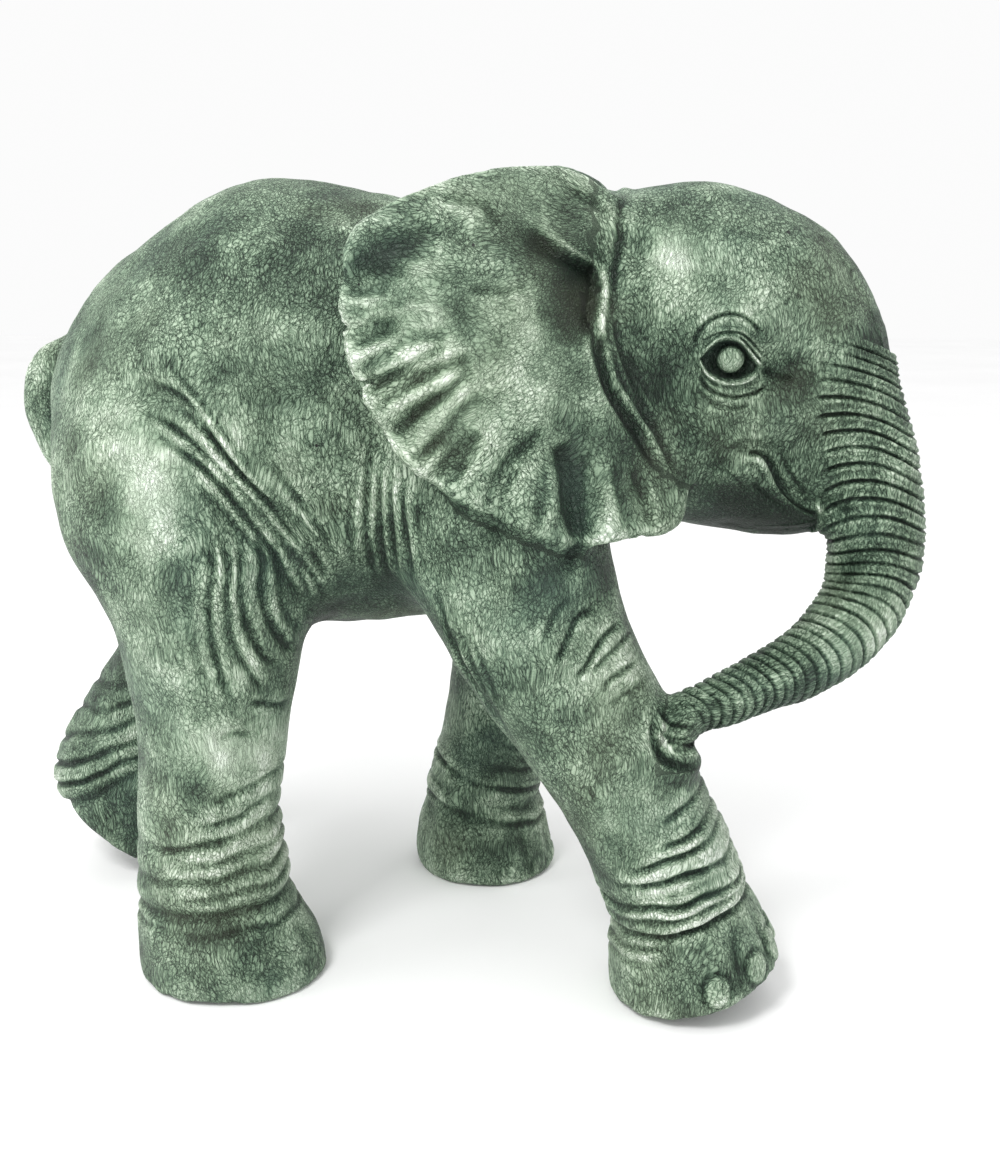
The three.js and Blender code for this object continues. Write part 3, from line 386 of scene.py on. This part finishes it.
# Ears: valleys that fan out to the rim, a deep one in front, and hollows at the root and behind.
ear_w = is_ear * step(0.05, 0.35, np.abs(N[:, 1])) * (0.12 + 0.88 * step(0.2, 2.8, ear_in))
EAR_VALLEYS = [
    ([(-15.4, 79.2), (-14.1, 79.8), (-11.4, 81.4), (-9.4, 82.4)], 0.6, 0.45),
    ([(-14.8, 76.8), (-13.4, 77.7), (-9.9, 79.8), (-7.6, 81.1), (-4.6, 81.4)], 0.6, 0.55),
    ([(-13.6, 75), (-12.5, 75.7), (-9.1, 77.7), (-5.9, 79.4), (-4.5, 80.1)], 0.55, 0.5),
    ([(-12.6, 73.2), (-11.4, 74.0), (-8.0, 76.3), (-4.9, 78.0), (-2.2, 78.8)], 0.75, 0.65),
    ([(-10.4, 70.2), (-9.1, 71.5), (-6.0, 74.2), (-3.2, 76.3), (-1.8, 77.6)], 0.65, 0.55),
    ([(-7.8, 67.4), (-6.6, 68.8), (-4.5, 71.2), (-2.1, 73.9), (-0.8, 74.9)], 0.8, 0.65),
    ([(-4.4, 64.6), (-3.5, 66.0), (-2.1, 68.7), (-0.8, 71.1)], 0.6, 0.5),
    ([(-0.8, 62.6), (0.3, 64.5), (2.0, 67.9), (4.8, 70.6), (6.5, 72.3)], 0.7, 0.6),
    ([(5.2, 60.2), (5.6, 62.7), (6.3, 65.8), (6.6, 68.5)], 0.65, 0.5),
    ([(10.2, 58), (9.9, 60.0), (9.1, 64.1), (8.5, 68.3), (8.3, 70.4)], 1.1, 1.2),
    ([(16.0, 59), (15.7, 60.1), (14.5, 64.5), (13.7, 68.4)], 0.6, 0.45),
    ([(18.6, 59), (18.1, 60.6), (16.9, 64.5), (15.6, 67.1)], 0.55, 0.4),
    ([(-16, 87.2), (-13.2, 88.7), (-9.2, 90.7), (-4.2, 91.4)], 1.9, 0.8), ([(-15.8, 83.6), (-12.4, 84.2), (-8.6, 84.6)], 0.5, 0.4),
    ([(-15.9, 81.6), (-13, 82), (-10, 82.8)], 0.45, 0.4), ([(-15.9, 85.6), (-13.2, 86), (-10.4, 86.2)], 0.5, 0.35),
    ([(1.6, 64.6), (2.8, 66.6), (3.8, 67.8)], 0.4, 0.3), ([(-4.4, 95.4), (-2.7, 95.2), (-0.6, 94.7), (0.8, 93.1)], 0.5, 0.4),
    ([(8.4, 96.4), (11.4, 95.0), (13.3, 93.2)], 0.6, 0.5), ([(-2, 86.2), (1.4, 85.8), (4.6, 86.4)], 0.5, 0.3),
]
for points, width, depth in EAR_VALLEYS:
    crease(ear_q, points, width, 0.8 * depth, ear_w, shoulder=0.25, ends=0.0 if points[0][0] < -4 and width < 1 else 0.15)
FAN = np.array([12.0, 83.0])
fan = ear_q - FAN
ray, fan_far = np.arctan2(fan[:, 1], -fan[:, 0]), np.hypot(*fan.T)
flutes = np.sin(ray * 58 + 1.5 * np.sin(ray * 9) + 0.5 * waves(D, 14, 8)) * step(12, 24, fan_far)
cut += 0.09 * flutes * ear_w * step(98, 88, ear_q[:, 1])
cut -= 0.16 * np.exp(-(((ear_in - 0.9) / 0.7) ** 2)) * is_ear * step(96, 90, ear_q[:, 1])

# The hollow of the ear, sharp where the fold of the cheek covers it and flat towards the ear's middle.
HOLLOW_Z, HOLLOW_X = [79.5, 81.7, 83.4, 86.1, 88.4, 90.0, 91.4, 93], [10.6, 11.2, 11.6, 12.1, 11.2, 8.0, 6.3, 5]
from_edge = np.interp(ear_q[:, 1], HOLLOW_Z, HOLLOW_X) - ear_q[:, 0]
hollow = step(-0.2, 0.7, from_edge) * np.exp(-np.clip(from_edge, 0, None) / 2.9)
hollow *= step(79, 84, ear_q[:, 1]) * step(93.4, 90, ear_q[:, 1])
cut += facing * (np.abs(hy) > 5) * (1.7 * hollow - 0.35 * np.exp(-(((from_edge + 0.7) / 0.6) ** 2)) * step(79, 84, z) * step(93, 90, z))

# Folds of the neck between the ear and the cheek.
NECK = [
    ([(14.3, 96.4), (14.1, 94.4), (14, 91.8), (13.6, 88.6), (13.2, 85.6), (13.4, 82.4)], 0.42, 0.5),
    ([(11.0, 84.6), (11.3, 82.2), (11.8, 79.0), (12.8, 75.9), (14.3, 73.2), (16.6, 69.8), (18.4, 66.5)], 0.5, 0.8),
    ([(12.6, 84.7), (13.1, 80.1), (14.5, 76.3), (16.6, 73.0), (18.3, 70.3)], 0.36, 0.5),
    ([(13.3, 83.6), (14.2, 79.8), (15.8, 76), (18.6, 70.2), (21.2, 65.6)], 0.42, 0.6),
    ([(12.1, 81.6), (12.5, 78.8), (13.5, 75.4), (15.4, 72.6), (17.8, 69)], 0.36, 0.85),
    ([(15, 80), (16.4, 76.6), (18.4, 73.2)], 0.3, 0.35),
]
for points, width, depth in NECK:
    crease(side, points, width, depth, facing, ends=0.16, shoulder=0.2)

# Eye: a ball in an almond socket, a sharp rim on both lids, and nested folds above and below.
e = head_side - EYE
eye_w = step(0.3, 0.6, np.abs(N[:, 1])) * (np.abs(hy) > 4)
UPPER = np.array([(-3.5, 0.1), (-1.9, 1.75), (-0.45, 2.2), (0.95, 1.7), (2.45, 0), (3.4, -1.1)])
LOWER = np.array([(-3.5, 0.1), (-2.6, -1.35), (-1.1, -2.2), (0.25, -2.4), (1.6, -2.15), (3.4, -1.1)])
lid_top, lid_low = np.interp(e[:, 0], *spline(UPPER).T), np.interp(e[:, 0], *spline(LOWER).T)
within = np.minimum(lid_top - e[:, 1], e[:, 1] - lid_low) * (np.abs(e[:, 0]) < 3.5)
ball = np.hypot(*e.T) / 1.6
socket = 0.75 * step(-0.1, 0.5, within) + 0.75 * step(0.0, 0.7, within) * np.exp(-(((ball - 1.15) / 0.3) ** 2))
cut += eye_w * (socket - 1.05 * np.sqrt(np.clip(1 - ball**3, 0, 1)))
LIDS = [
    (UPPER + (0, 0.28), 0.2, -0.34), (LOWER + (0, -0.22), 0.17, -0.36), (UPPER + (0, 0.62), 0.13, 0.22),
    ([(-3.4, 1.0), (-2, 2.3), (-0.5, 2.75), (1, 2.4), (2.5, 1), (3.6, -0.3)], 0.18, -0.22),
    ([(-3.1, 1.9), (-2, 2.75), (-0.5, 3.05), (1.2, 2.7), (2.8, 1.2), (3.6, 0.1)], 0.13, 0.2),
    ([(-2.8, 2.5), (-0.6, 3.3), (1.3, 2.9), (3.3, 1.0)], 0.18, -0.16),
    ([(-4, 1.2), (-4, 2.3), (-3.2, 3.6), (-1.8, 4.65), (-0.3, 5), (1.2, 4.6), (2.4, 3.6), (3.5, 2.2)], 0.24, 0.42),
    ([(-3.8, -1), (-2.6, -3), (-0.7, -3.9), (1, -4.05), (3, -3.5), (4, -2.8)], 0.22, 0.34),
    ([(-3.7, -3.1), (-2.2, -4.6), (0, -5.3), (2.4, -5)], 0.26, 0.2), ([(3.4, -1.1), (5, -1.9), (7, -2.3)], 0.3, 0.3),
    ([(-3.3, -0.6), (-2.7, -2), (-1, -3)], 0.16, 0.15),
]
LID_RELIEF = 1.5
for points, width, depth in LIDS:
    crease(e, points, width, LID_RELIEF * depth, eye_w, ends=0.14, shoulder=0.2)
dent = np.hypot((e[:, 0] - 6.2) / 2.8, (e[:, 1] + 2.2) / 1.9)
cut += 0.6 * np.exp(-(dent**2)) * eye_w

# Mouth: a parting that climbs to a smile, a dimple over it, and the lower lip tucked in under it.
MOUTH = [
    ([(30.2, 67.8), (31.2, 67.9), (32.5, 67.2), (33.7, 65.2), (35.4, 62.7), (37.4, 60.7), (40.5, 59.0)], 0.36, 0.8),
    ([(27.9, 68.2), (29.8, 69.4), (31.8, 69.2)], 0.3, 0.3), ([(29.6, 66.6), (31.4, 66.2), (32.6, 64.4)], 0.3, 0.3),
    ([(34.4, 66.4), (35.6, 64.6), (37.2, 62.6)], 0.35, 0.3), ([(31.0, 64.2), (33.0, 61.9), (35.4, 60.0)], 0.35, 0.3),
    ([(27, 66.2), (28.8, 65.2), (30.4, 63.2)], 0.3, 0.2),
]
for points, width, depth in MOUTH:
    crease(head_side, points, width, depth, body, ends=0.12)
chin = step(66, 61, z) * step(24, 30, hx) * step(44, 38, hx) * step(0.5, -1.0, (z - 67.5) + 0.98 * (hx - 32.0))
cut += 0.7 * chin * body * ~is_trunk * (z > 50)

# Trunk: rings across it, wide at the root and narrow at the tip. They lie level high up and drop to the front.
run_grid = np.linspace(0, 90, 181)
pitch_grid = np.interp(run_grid, [0, 8, 26, 40, 60, 90], [2.5, 2.2, 2.1, 1.75, 1.3, 1.15])
turns = np.concatenate([[0], np.cumsum((run_grid[1] - run_grid[0]) / pitch_grid)])[:-1]
front = np.clip(trunk_across, 0, 1.2) ** 2
back = np.clip(trunk_across, -1.2, 0) ** 2
lower = z + np.interp(z, [56, 64], [2.4, 3.6]) * front + np.interp(z, [56, 66], [2.2, 2.0]) * back
level_run = np.interp(-lower, -trunk_line[:, 2], trunk_runs)
along_run = trunk_run - 1.2 * trunk_across**2
high = step(50, 58, z)
place = high * level_run + (1 - high) * along_run + 0.16 * waves(D, 11, 8)
count, pitch = np.interp(place, run_grid, turns), np.interp(place, run_grid, pitch_grid)
which = np.round(count)
off = (count - which) * pitch
strength = 0.85 + 0.2 * np.sin(which * 2.4 + 2 * np.sin(trunk_angle * 1.5 + which))
left_limit = np.interp(z, [58, 68, 74, 80], [39.6, 39.2, 38.6, 38.4]) - 0.6 + 0.5 * waves(D, 4, 6)
start = step(5.5, 11.0, trunk_run) * np.where(z > 58, step(left_limit - 1.2, left_limit + 1.2, hx), 1.0)
ring_w = is_trunk * start * step(1.35, 1.15, trunk_far) * step(67, 64, trunk_run)
groove = 0.85 * np.exp(-((off / 0.27) ** 2)) - 0.16 * np.cos(2 * math.pi * off / pitch)
cut += ring_w * strength * groove * np.interp(trunk_run, [20, 60], [1, 0.7])
ribs = np.sin(trunk_angle * 30 + 2.2 * which + 1.2 * waves(D, 3, 6)) * np.cos(math.pi * off / pitch)
cut += 0.05 * ring_w * ribs * step(58, 40, trunk_run)

# The trunk's tip: folds that wind round it, and its lip, which stands out from the leg over a groove.
TIP = [
    ([(18.8, 39.6), (19.0, 36.6), (20.3, 34.4), (22, 33.7), (24.2, 33.2)], 0.5, 0.8),
    ([(19.9, 38.6), (20.1, 36.6), (21.1, 35.2), (22.6, 34.8), (24.8, 34.4)], 0.4, -0.5),
    ([(19.6, 39.4), (21.0, 38.2), (23.8, 37.7)], 0.26, 0.6), ([(19.3, 38.1), (20.5, 36.9), (23.2, 36.4)], 0.26, 0.6),
    ([(20.1, 36.5), (22.0, 36.1), (24.4, 35.2)], 0.26, 0.6),
]
for points, width, depth in TIP:
    crease(side, points, width, depth, (y < -12) * facing, ends=0.15)

# A small knob left by the mould where the ear meets the top of the head.
KNOB, KNOB_WIDE, KNOB_TALL = np.array([14.6, 97.4]), 0.7, 1.6
cut -= KNOB_TALL * np.exp(-((side - KNOB) ** 2).sum(1) / KNOB_WIDE**2) * (y < 0) * step(0, 0.4, N[:, 2])

# The modeller's hand: soft lumps all over. The soles stay flat.
cut += 0.1 * waves(D, 9, 16) + 0.05 * waves(D, 3.2, 24)
flat = step(ORIGIN[2] + 0.3, ORIGIN[2] + 1.5, z)
P = P - (cut * flat * UNIT)[:, None] * N
P = np.clip(P, np.array(cad_low), np.array(cad_high))
P[:, 2] = np.maximum(P[:, 2], 0)

# Where the wash stays and where the pale coat rubs off: how deep each place lies under its surroundings. Painted
# highlights and painted shade are laid over these tones below.
elephant.data.vertices.foreach_set("co", P.ravel().astype(np.float32))
elephant.data.update()
fine_dip = ((averaged(P, edges, 4) - P) * N).sum(1) / 0.0005
wide_dip = ((averaged(P, edges, 40) - P) * N).sum(1) / 0.0022
carved = averaged(cut, edges, 3) / 0.5
tone = 0.5 - 0.16 * np.clip(fine_dip, -1.6, 2) - 0.15 * np.clip(wide_dip, -1.6, 2) - 0.19 * np.clip(carved, -1, 2)
ragged = waves(D, 5, 14) * 0.5 + waves(D, 1.8, 14) * 0.25


def patch(at, half, power=2.0):
    """A soft-edged spot of the side view, with a ragged outline."""
    d = np.hypot((x - at[0]) / half[0], (z - at[1]) / half[1]) + 0.25 * ragged
    return np.exp(-np.clip(d, 0, None) ** power)


# Painted shade under the jaw: the chin's downward-facing underside is darkened.
shade_under_chin = step(8.5, 3, np.abs(z - 58)) * step(24, 30, hx) * step(42, 36, hx) * step(0.2, -0.5, N[:, 2])
# Paler places, partly real wear on what stands proud and partly painted highlights where the light falls: on the hip,
# the top of the head, the trunk's lowest bend, the rump, the legs and the ears, some only on the near side, which
# faces the light.
wear_and_highlight = patch((-36.6, 65), (5.2, 8.4), 2.5) + 0.75 * patch((19.6, 90), (3.2, 3.6)) + 1.1 * patch((43.6, 47), (6, 6))
wear_and_highlight += 0.6 * patch((-46, 84), (5, 10)) + 0.7 * patch((-28, 34), (4, 4)) + 0.4 * patch((13, 46), (3.4, 5))
wear_and_highlight += is_ear * (0.45 * patch((1, 80), (10, 11)) + 0.4 * patch((-9, 82), (6, 9)) + 0.3 * patch((2, 97), (7, 3)) + 0.3 * patch((14, 64), (3, 6)))
wear_and_highlight += 0.35 * patch((27, 84), (4, 3)) + 0.35 * patch((-22, 76), (5, 8)) + 0.3 * patch((-31, 46), (5, 8))
wear_and_highlight += 0.45 * patch((-34, 36), (7, 14)) * (y < 0) + 0.4 * patch((18, 26), (7, 8)) * (y < 0)
wear_and_highlight += 0.25 * patch((4, 44), (6, 8)) * (y < 0) + 0.3 * patch((-27, 5), (6, 4))
# Darker places, partly real stains and partly painted shade: painted shade under the jaw, on the far-side legs, in the
# groin and, below, on every downward-facing surface; the ear's painted shadow on the shoulder and the trunk tip's
# painted shadow on the foreleg; darker in the ear's root hollow, its valleys and along its rim, in front of the eye,
# round the ankles, across the upper body behind the ear and towards the feet, with a few darker spots.
stain_and_shade = 0.9 * patch((-33.2, 55.6), (1.7, 2.3)) + 0.6 * patch((34.4, 76), (2.6, 2)) + 0.9 * shade_under_chin * ~is_trunk
stain_and_shade += is_ear * (0.9 * patch((9.4, 86.5), (3.4, 4.6)) + 0.6 * patch((-11, 90.2), (4, 2.2)) + 0.8 * patch((9.1, 64), (1.3, 4.8)))
stain_and_shade += 0.3 * is_ear * step(2.4, 0.4, np.abs(ear_in)) + 0.5 * patch((-56, 22), (9, 16)) * (y > 0) + 0.3 * patch((-44, 84), (6, 7)) + 0.6 * patch((11, 55), (6, 4)) * not_ear + 0.7 * patch((-33, 11), (6, 2)) + 0.45 * patch((21, 14), (9, 1.8))
stain_and_shade += 0.35 * step(12, 4, z) * np.clip(0.6 + ragged, 0, 1) + 0.45 * patch((-22, 88), (14, 5)) * not_ear
stain_and_shade += 0.3 * patch((3, 22), (8, 9)) * (y > 0) + 0.6 * patch((22.2, 32), (2.6, 1.8)) + 0.4 * patch((-24, 56), (4, 9)) * not_ear
tone += eye_w * (0.02 * step(1.02, 0.8, ball) - 0.25 * step(0.0, 0.5, within) * step(0.9, 1.1, ball))
wear_and_highlight += 0.3 * eye_w * step(1.1, 0.9, ball)
# Painted shade on every downward-facing surface; darker on the head and in the folds between the ear and the cheek.
stain_and_shade += 0.5 * step(0.0, -0.8, N[:, 2]) + 0.35 * patch((24, 93), (6, 3)) + 0.3 * patch((20, 74), (3, 6)) + 0.55 * patch((15, 74.5), (3.2, 8))

# The finished net keeps its points where the carving needs them.
made = evaluated(elephant, "TRIANGULATE")
made = evaluated(elephant, "DECIMATE", ratio=min(1, TRIANGLES / len(made.polygons)), use_collapse_triangulate=True)
final, final_edges = numpy_mesh(made)
tree = kdtree.KDTree(len(P))
for i, place_of in enumerate(P):
    tree.insert(place_of, i)
tree.balance()
nearest = np.array([tree.find(p)[1] for p in final])


def cloud(places, size, octaves):
    """Cloudy values round 0 at the given size, in units of the side view."""
    return np.array([noise.fractal(p, 0.8, 2.1, octaves) for p in places / size])


def add_values(name, values, kind="FLOAT"):
    layer = made.attributes.new(name, kind, "POINT")
    layer.data.foreach_set("value" if kind == "FLOAT" else "vector", values.ravel().astype(np.float32))


G = final / UNIT + ORIGIN
wear_and_highlight_now, stain_and_shade_now = np.clip(wear_and_highlight[nearest], 0, 1), np.clip(stain_and_shade[nearest], 0, 1)
mottle = 0.18 * cloud(G, 12, 5) + 0.18 * cloud(G + 40, 3.6, 4)
# The tone, over a random mottle, with the pale wear and painted highlights added and the stains and painted shade
# taken off.
tone_now = averaged(tone[nearest], final_edges, 1) + mottle + 0.26 * wear_and_highlight_now - 0.36 * stain_and_shade_now
add_values("tone", np.clip(tone_now, 0, 1))
add_values("wear_and_highlight", np.clip(wear_and_highlight_now + 0.4 * cloud(G + 120, 9, 3), 0, 1))
add_values("warmth", np.clip(0.5 + 0.6 * cloud(G + 80, 18, 3), 0, 1))

# Grain of the skin: the way its cracks run, upright on the body, along the trunk, and out to the rim on the ears.
in_frame = in_head(G)
run, across, round_it, half, far = on_trunk(in_frame)
LEVEL_Z, LEVEL_X, LENGTHEN = 56.0, 45.8, 0.42
level_run = np.interp(-LEVEL_Z, -trunk_line[:, 2], trunk_runs)
straight = np.stack([LEVEL_X + across * half, half * np.sin(round_it), LEVEL_Z - (run - level_run)], 1)
share = (is_trunk[nearest] * step(60, 52, G[:, 2]))[:, None]
grain = (in_frame * (1 - share) + straight * share) * (1, 1, LENGTHEN)
FAR_FAN = np.array([24.0, 92.0])
fan = G[:, [0, 2]] - FAR_FAN
fanned = np.stack([np.arctan2(fan[:, 1], -fan[:, 0]) * 24, G[:, 1], np.hypot(*fan.T) * 0.5], 1)
CHEEK_Z, CHEEK_X = [63, 66.5, 69.8, 73.2, 75.9, 79, 82.2, 84.6], [24, 18.4, 16.6, 14.3, 12.8, 11.8, 11.3, 11]
ear_now = (is_ear & (x < np.interp(z, CHEEK_Z, CHEEK_X)))[nearest]
grain[ear_now] = fanned[ear_now]
bend = np.array([noise.noise_vector(p) for p in G / 2.6]) * 0.55 + np.array([noise.noise_vector(p) for p in G / 6]) * 1.1
add_values("grain", (grain + bend) * UNIT, "FLOAT_VECTOR")
made.shade_smooth()
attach(elephant, "root")
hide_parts("elephant_statue")


def node(tree, kind, **settings):
    """A new node; settings that start with in_ are its inputs, by number or by name."""
    made_node = tree.nodes.new(kind)
    for key, value in settings.items():
        if key.startswith("in_"):
            socket = made_node.inputs[int(key[3:])] if key[3:].isdigit() else made_node.inputs[key[3:].replace("_", " ")]
            if isinstance(value, bpy.types.NodeSocket):
                tree.links.new(value, socket)
            else:
                socket.default_value = value
        else:
            setattr(made_node, key, value)
    return made_node


def ramp(tree, value, stops):
    made_node = node(tree, "ShaderNodeValToRGB", in_0=value)
    row = made_node.color_ramp.elements
    while len(row) < len(stops):
        row.new(0.5)
    for element, (place_of, colour) in zip(row, stops):
        element.position = place_of
        element.color = (*colour, 1) if isinstance(colour, tuple) else (colour, colour, colour, 1)
    return made_node.outputs[0]


def math_node(tree, operation, a, b=0.0, clamp=False):
    return node(tree, "ShaderNodeMath", operation=operation, in_0=a, in_1=b, use_clamp=clamp).outputs[0]


def mix(tree, share, a, b):
    made_node = node(tree, "ShaderNodeMix", data_type="RGBA")
    for socket, value in ((0, share), (6, a), (7, b)):
        if isinstance(value, bpy.types.NodeSocket):
            tree.links.new(value, made_node.inputs[socket])
        else:
            made_node.inputs[socket].default_value = (*value, 1) if isinstance(value, tuple) else value
    return made_node.outputs[2]


stone = bpy.data.materials.new("patinated_stone")
stone.use_nodes = True
t = stone.node_tree
shader = t.nodes["Principled BSDF"]
places = node(t, "ShaderNodeTexCoord").outputs["Object"]
tone_of, wear_and_highlight_of, warmth_of = (
    node(t, "ShaderNodeAttribute", attribute_name=name).outputs["Fac"] for name in ("tone", "wear_and_highlight", "warmth")
)
grain_of = node(t, "ShaderNodeAttribute", attribute_name="grain").outputs["Vector"]

# Cracked skin: three webs of cracks that follow the grain, from long and open to fine, over a sandy surface.


def web(scale, detail, width, aside):
    moved = node(t, "ShaderNodeVectorMath", operation="ADD", in_0=grain_of, in_1=(aside, 0, 0)).outputs[0]
    cloudy = node(t, "ShaderNodeTexNoise", in_Vector=moved, in_Scale=scale, in_Detail=detail, in_Roughness=0.6).outputs[0]
    from_middle = math_node(t, "ABSOLUTE", math_node(t, "SUBTRACT", cloudy, 0.5))
    return ramp(t, from_middle, [(0.0, 0.0), (width * 0.5, 0.45), (width, 0.85), (width * 2.5, 1.0)])


net = node(t, "ShaderNodeTexVoronoi", feature="DISTANCE_TO_EDGE", in_Vector=grain_of, in_Scale=400, in_Randomness=1.0)
net = ramp(t, net.outputs[0], [(0.0, 0.0), (0.06, 0.5), (0.16, 1.0)])
sand = node(t, "ShaderNodeTexNoise", in_Vector=places, in_Scale=900, in_Detail=1.0).outputs[0]
skin = math_node(t, "MULTIPLY", math_node(t, "SUBTRACT", sand, 0.5), 0.3)
for share_of, layer in ((0.36, web(150, 3.0, 0.014, 0)), (0.28, web(420, 2.0, 0.05, 0.3)), (0.3, net)):
    skin = math_node(t, "ADD", skin, math_node(t, "MULTIPLY", layer, share_of))
SKIN_MIDDLE = 0.79

# Pinholes left by air in the mould: a few, at random, a couple of millimetres across.
holes = node(t, "ShaderNodeTexVoronoi", feature="F1", in_Vector=places, in_Scale=34, in_Randomness=1.0)
here = math_node(t, "LESS_THAN", node(t, "ShaderNodeSeparateColor", in_0=holes.outputs["Color"]).outputs[0], 0.2)
hole = math_node(t, "MULTIPLY", math_node(t, "LESS_THAN", holes.outputs["Distance"], 0.045), here)

# Colour: dark green in the hollows, grey-green between, pale on what stands proud, nearly white where worn and where
# highlights are painted, dark where shade is painted.
skin_depth = math_node(t, "SUBTRACT", 0.78, math_node(t, "MULTIPLY", wear_and_highlight_of, 0.68))
level = math_node(t, "MULTIPLY", math_node(t, "SUBTRACT", skin, SKIN_MIDDLE), skin_depth)
level = math_node(t, "ADD", tone_of, level, clamp=True)
colour = ramp(t, level, [
    (0.0, (0.006, 0.017, 0.009)), (0.22, (0.024, 0.052, 0.029)), (0.42, (0.095, 0.155, 0.098)),
    (0.6, (0.23, 0.325, 0.22)), (0.8, (0.46, 0.565, 0.43)), (1.0, (0.80, 0.87, 0.77)),
])
warm = math_node(t, "MULTIPLY", ramp(t, warmth_of, [(0.6, 0.0), (0.9, 1.0)]), 0.08)
colour = mix(t, warm, colour, (0.28, 0.27, 0.16))
cool = math_node(t, "MULTIPLY", ramp(t, warmth_of, [(0.1, 1.0), (0.4, 0.0)]), 0.12)
colour = mix(t, cool, colour, (0.14, 0.26, 0.21))
colour = mix(t, hole, colour, (0.008, 0.012, 0.009))
t.links.new(colour, shader.inputs["Base Color"])
t.links.new(ramp(t, level, [(0.2, 0.5), (0.9, 0.62)]), shader.inputs["Roughness"])
shader.inputs["Specular IOR Level"].default_value = 0.42

# Relief too fine for the net: the cracks, the sandy grain and the pinholes.
height = math_node(t, "SUBTRACT", skin, math_node(t, "MULTIPLY", hole, 1.5))
bump = node(t, "ShaderNodeBump", in_Strength=1.0, in_Distance=0.0018, in_Height=height)
t.links.new(bump.outputs[0], shader.inputs["Normal"])
elephant.data.materials.clear()
elephant.data.materials.append(stone)

# Floor: a pale plain floor for the picture, not part of the statue. A faint cloud keeps it from looking flat.
floor_mesh = bpy.data.meshes.new("floor")
floor_mesh.from_pydata([(-6, -6, 0), (6, -6, 0), (6, 6, 0), (-6, 6, 0)], [], [(0, 1, 2, 3)])
floor = bpy.data.objects.new("floor", floor_mesh)
bpy.context.scene.collection.objects.link(floor)
plaster = bpy.data.materials.new("pale_floor")
plaster.use_nodes = True
t = plaster.node_tree
shade = node(t, "ShaderNodeTexNoise", in_Vector=node(t, "ShaderNodeTexCoord").outputs["Object"], in_Scale=3, in_Detail=2).outputs[0]
t.links.new(ramp(t, shade, [(0.3, 0.97), (0.7, 1.0)]), t.nodes["Principled BSDF"].inputs["Base Color"])
t.nodes["Principled BSDF"].inputs["Roughness"].default_value = 0.95
t.nodes["Principled BSDF"].inputs["Specular IOR Level"].default_value = 0.1
floor_mesh.materials.append(plaster)
floor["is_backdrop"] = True

# Light: a wide soft key from above on the near side, a weaker one from the tail end, and an even pale surround.
world = bpy.data.worlds.new("surround")
world.use_nodes = True
world.node_tree.nodes["Background"].inputs[0].default_value = (1.0, 1.0, 1.0, 1)
world.node_tree.nodes["Background"].inputs[1].default_value = 0.97
bpy.context.scene.world = world
bpy.context.scene.view_settings.view_transform = "Standard"
LAMPS = (
    ("key", (-0.6, -1.2, 1.9), 24, 0.55), ("side", (-1.5, -0.5, 0.9), 5, 0.8), ("top", (0.2, 0.3, 1.9), 6, 1.2),
)
for name, place_of, power, size in LAMPS:
    lamp = bpy.data.lights.new(name, "AREA")
    lamp.energy = power
    lamp.size = size
    piece = bpy.data.objects.new(name, lamp)
    piece.location = place_of
    piece.rotation_euler = (Vector((0, 0, 0.25)) - Vector(place_of)).to_track_quat("-Z", "Y").to_euler()
    bpy.context.scene.collection.objects.link(piece)

low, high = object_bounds()
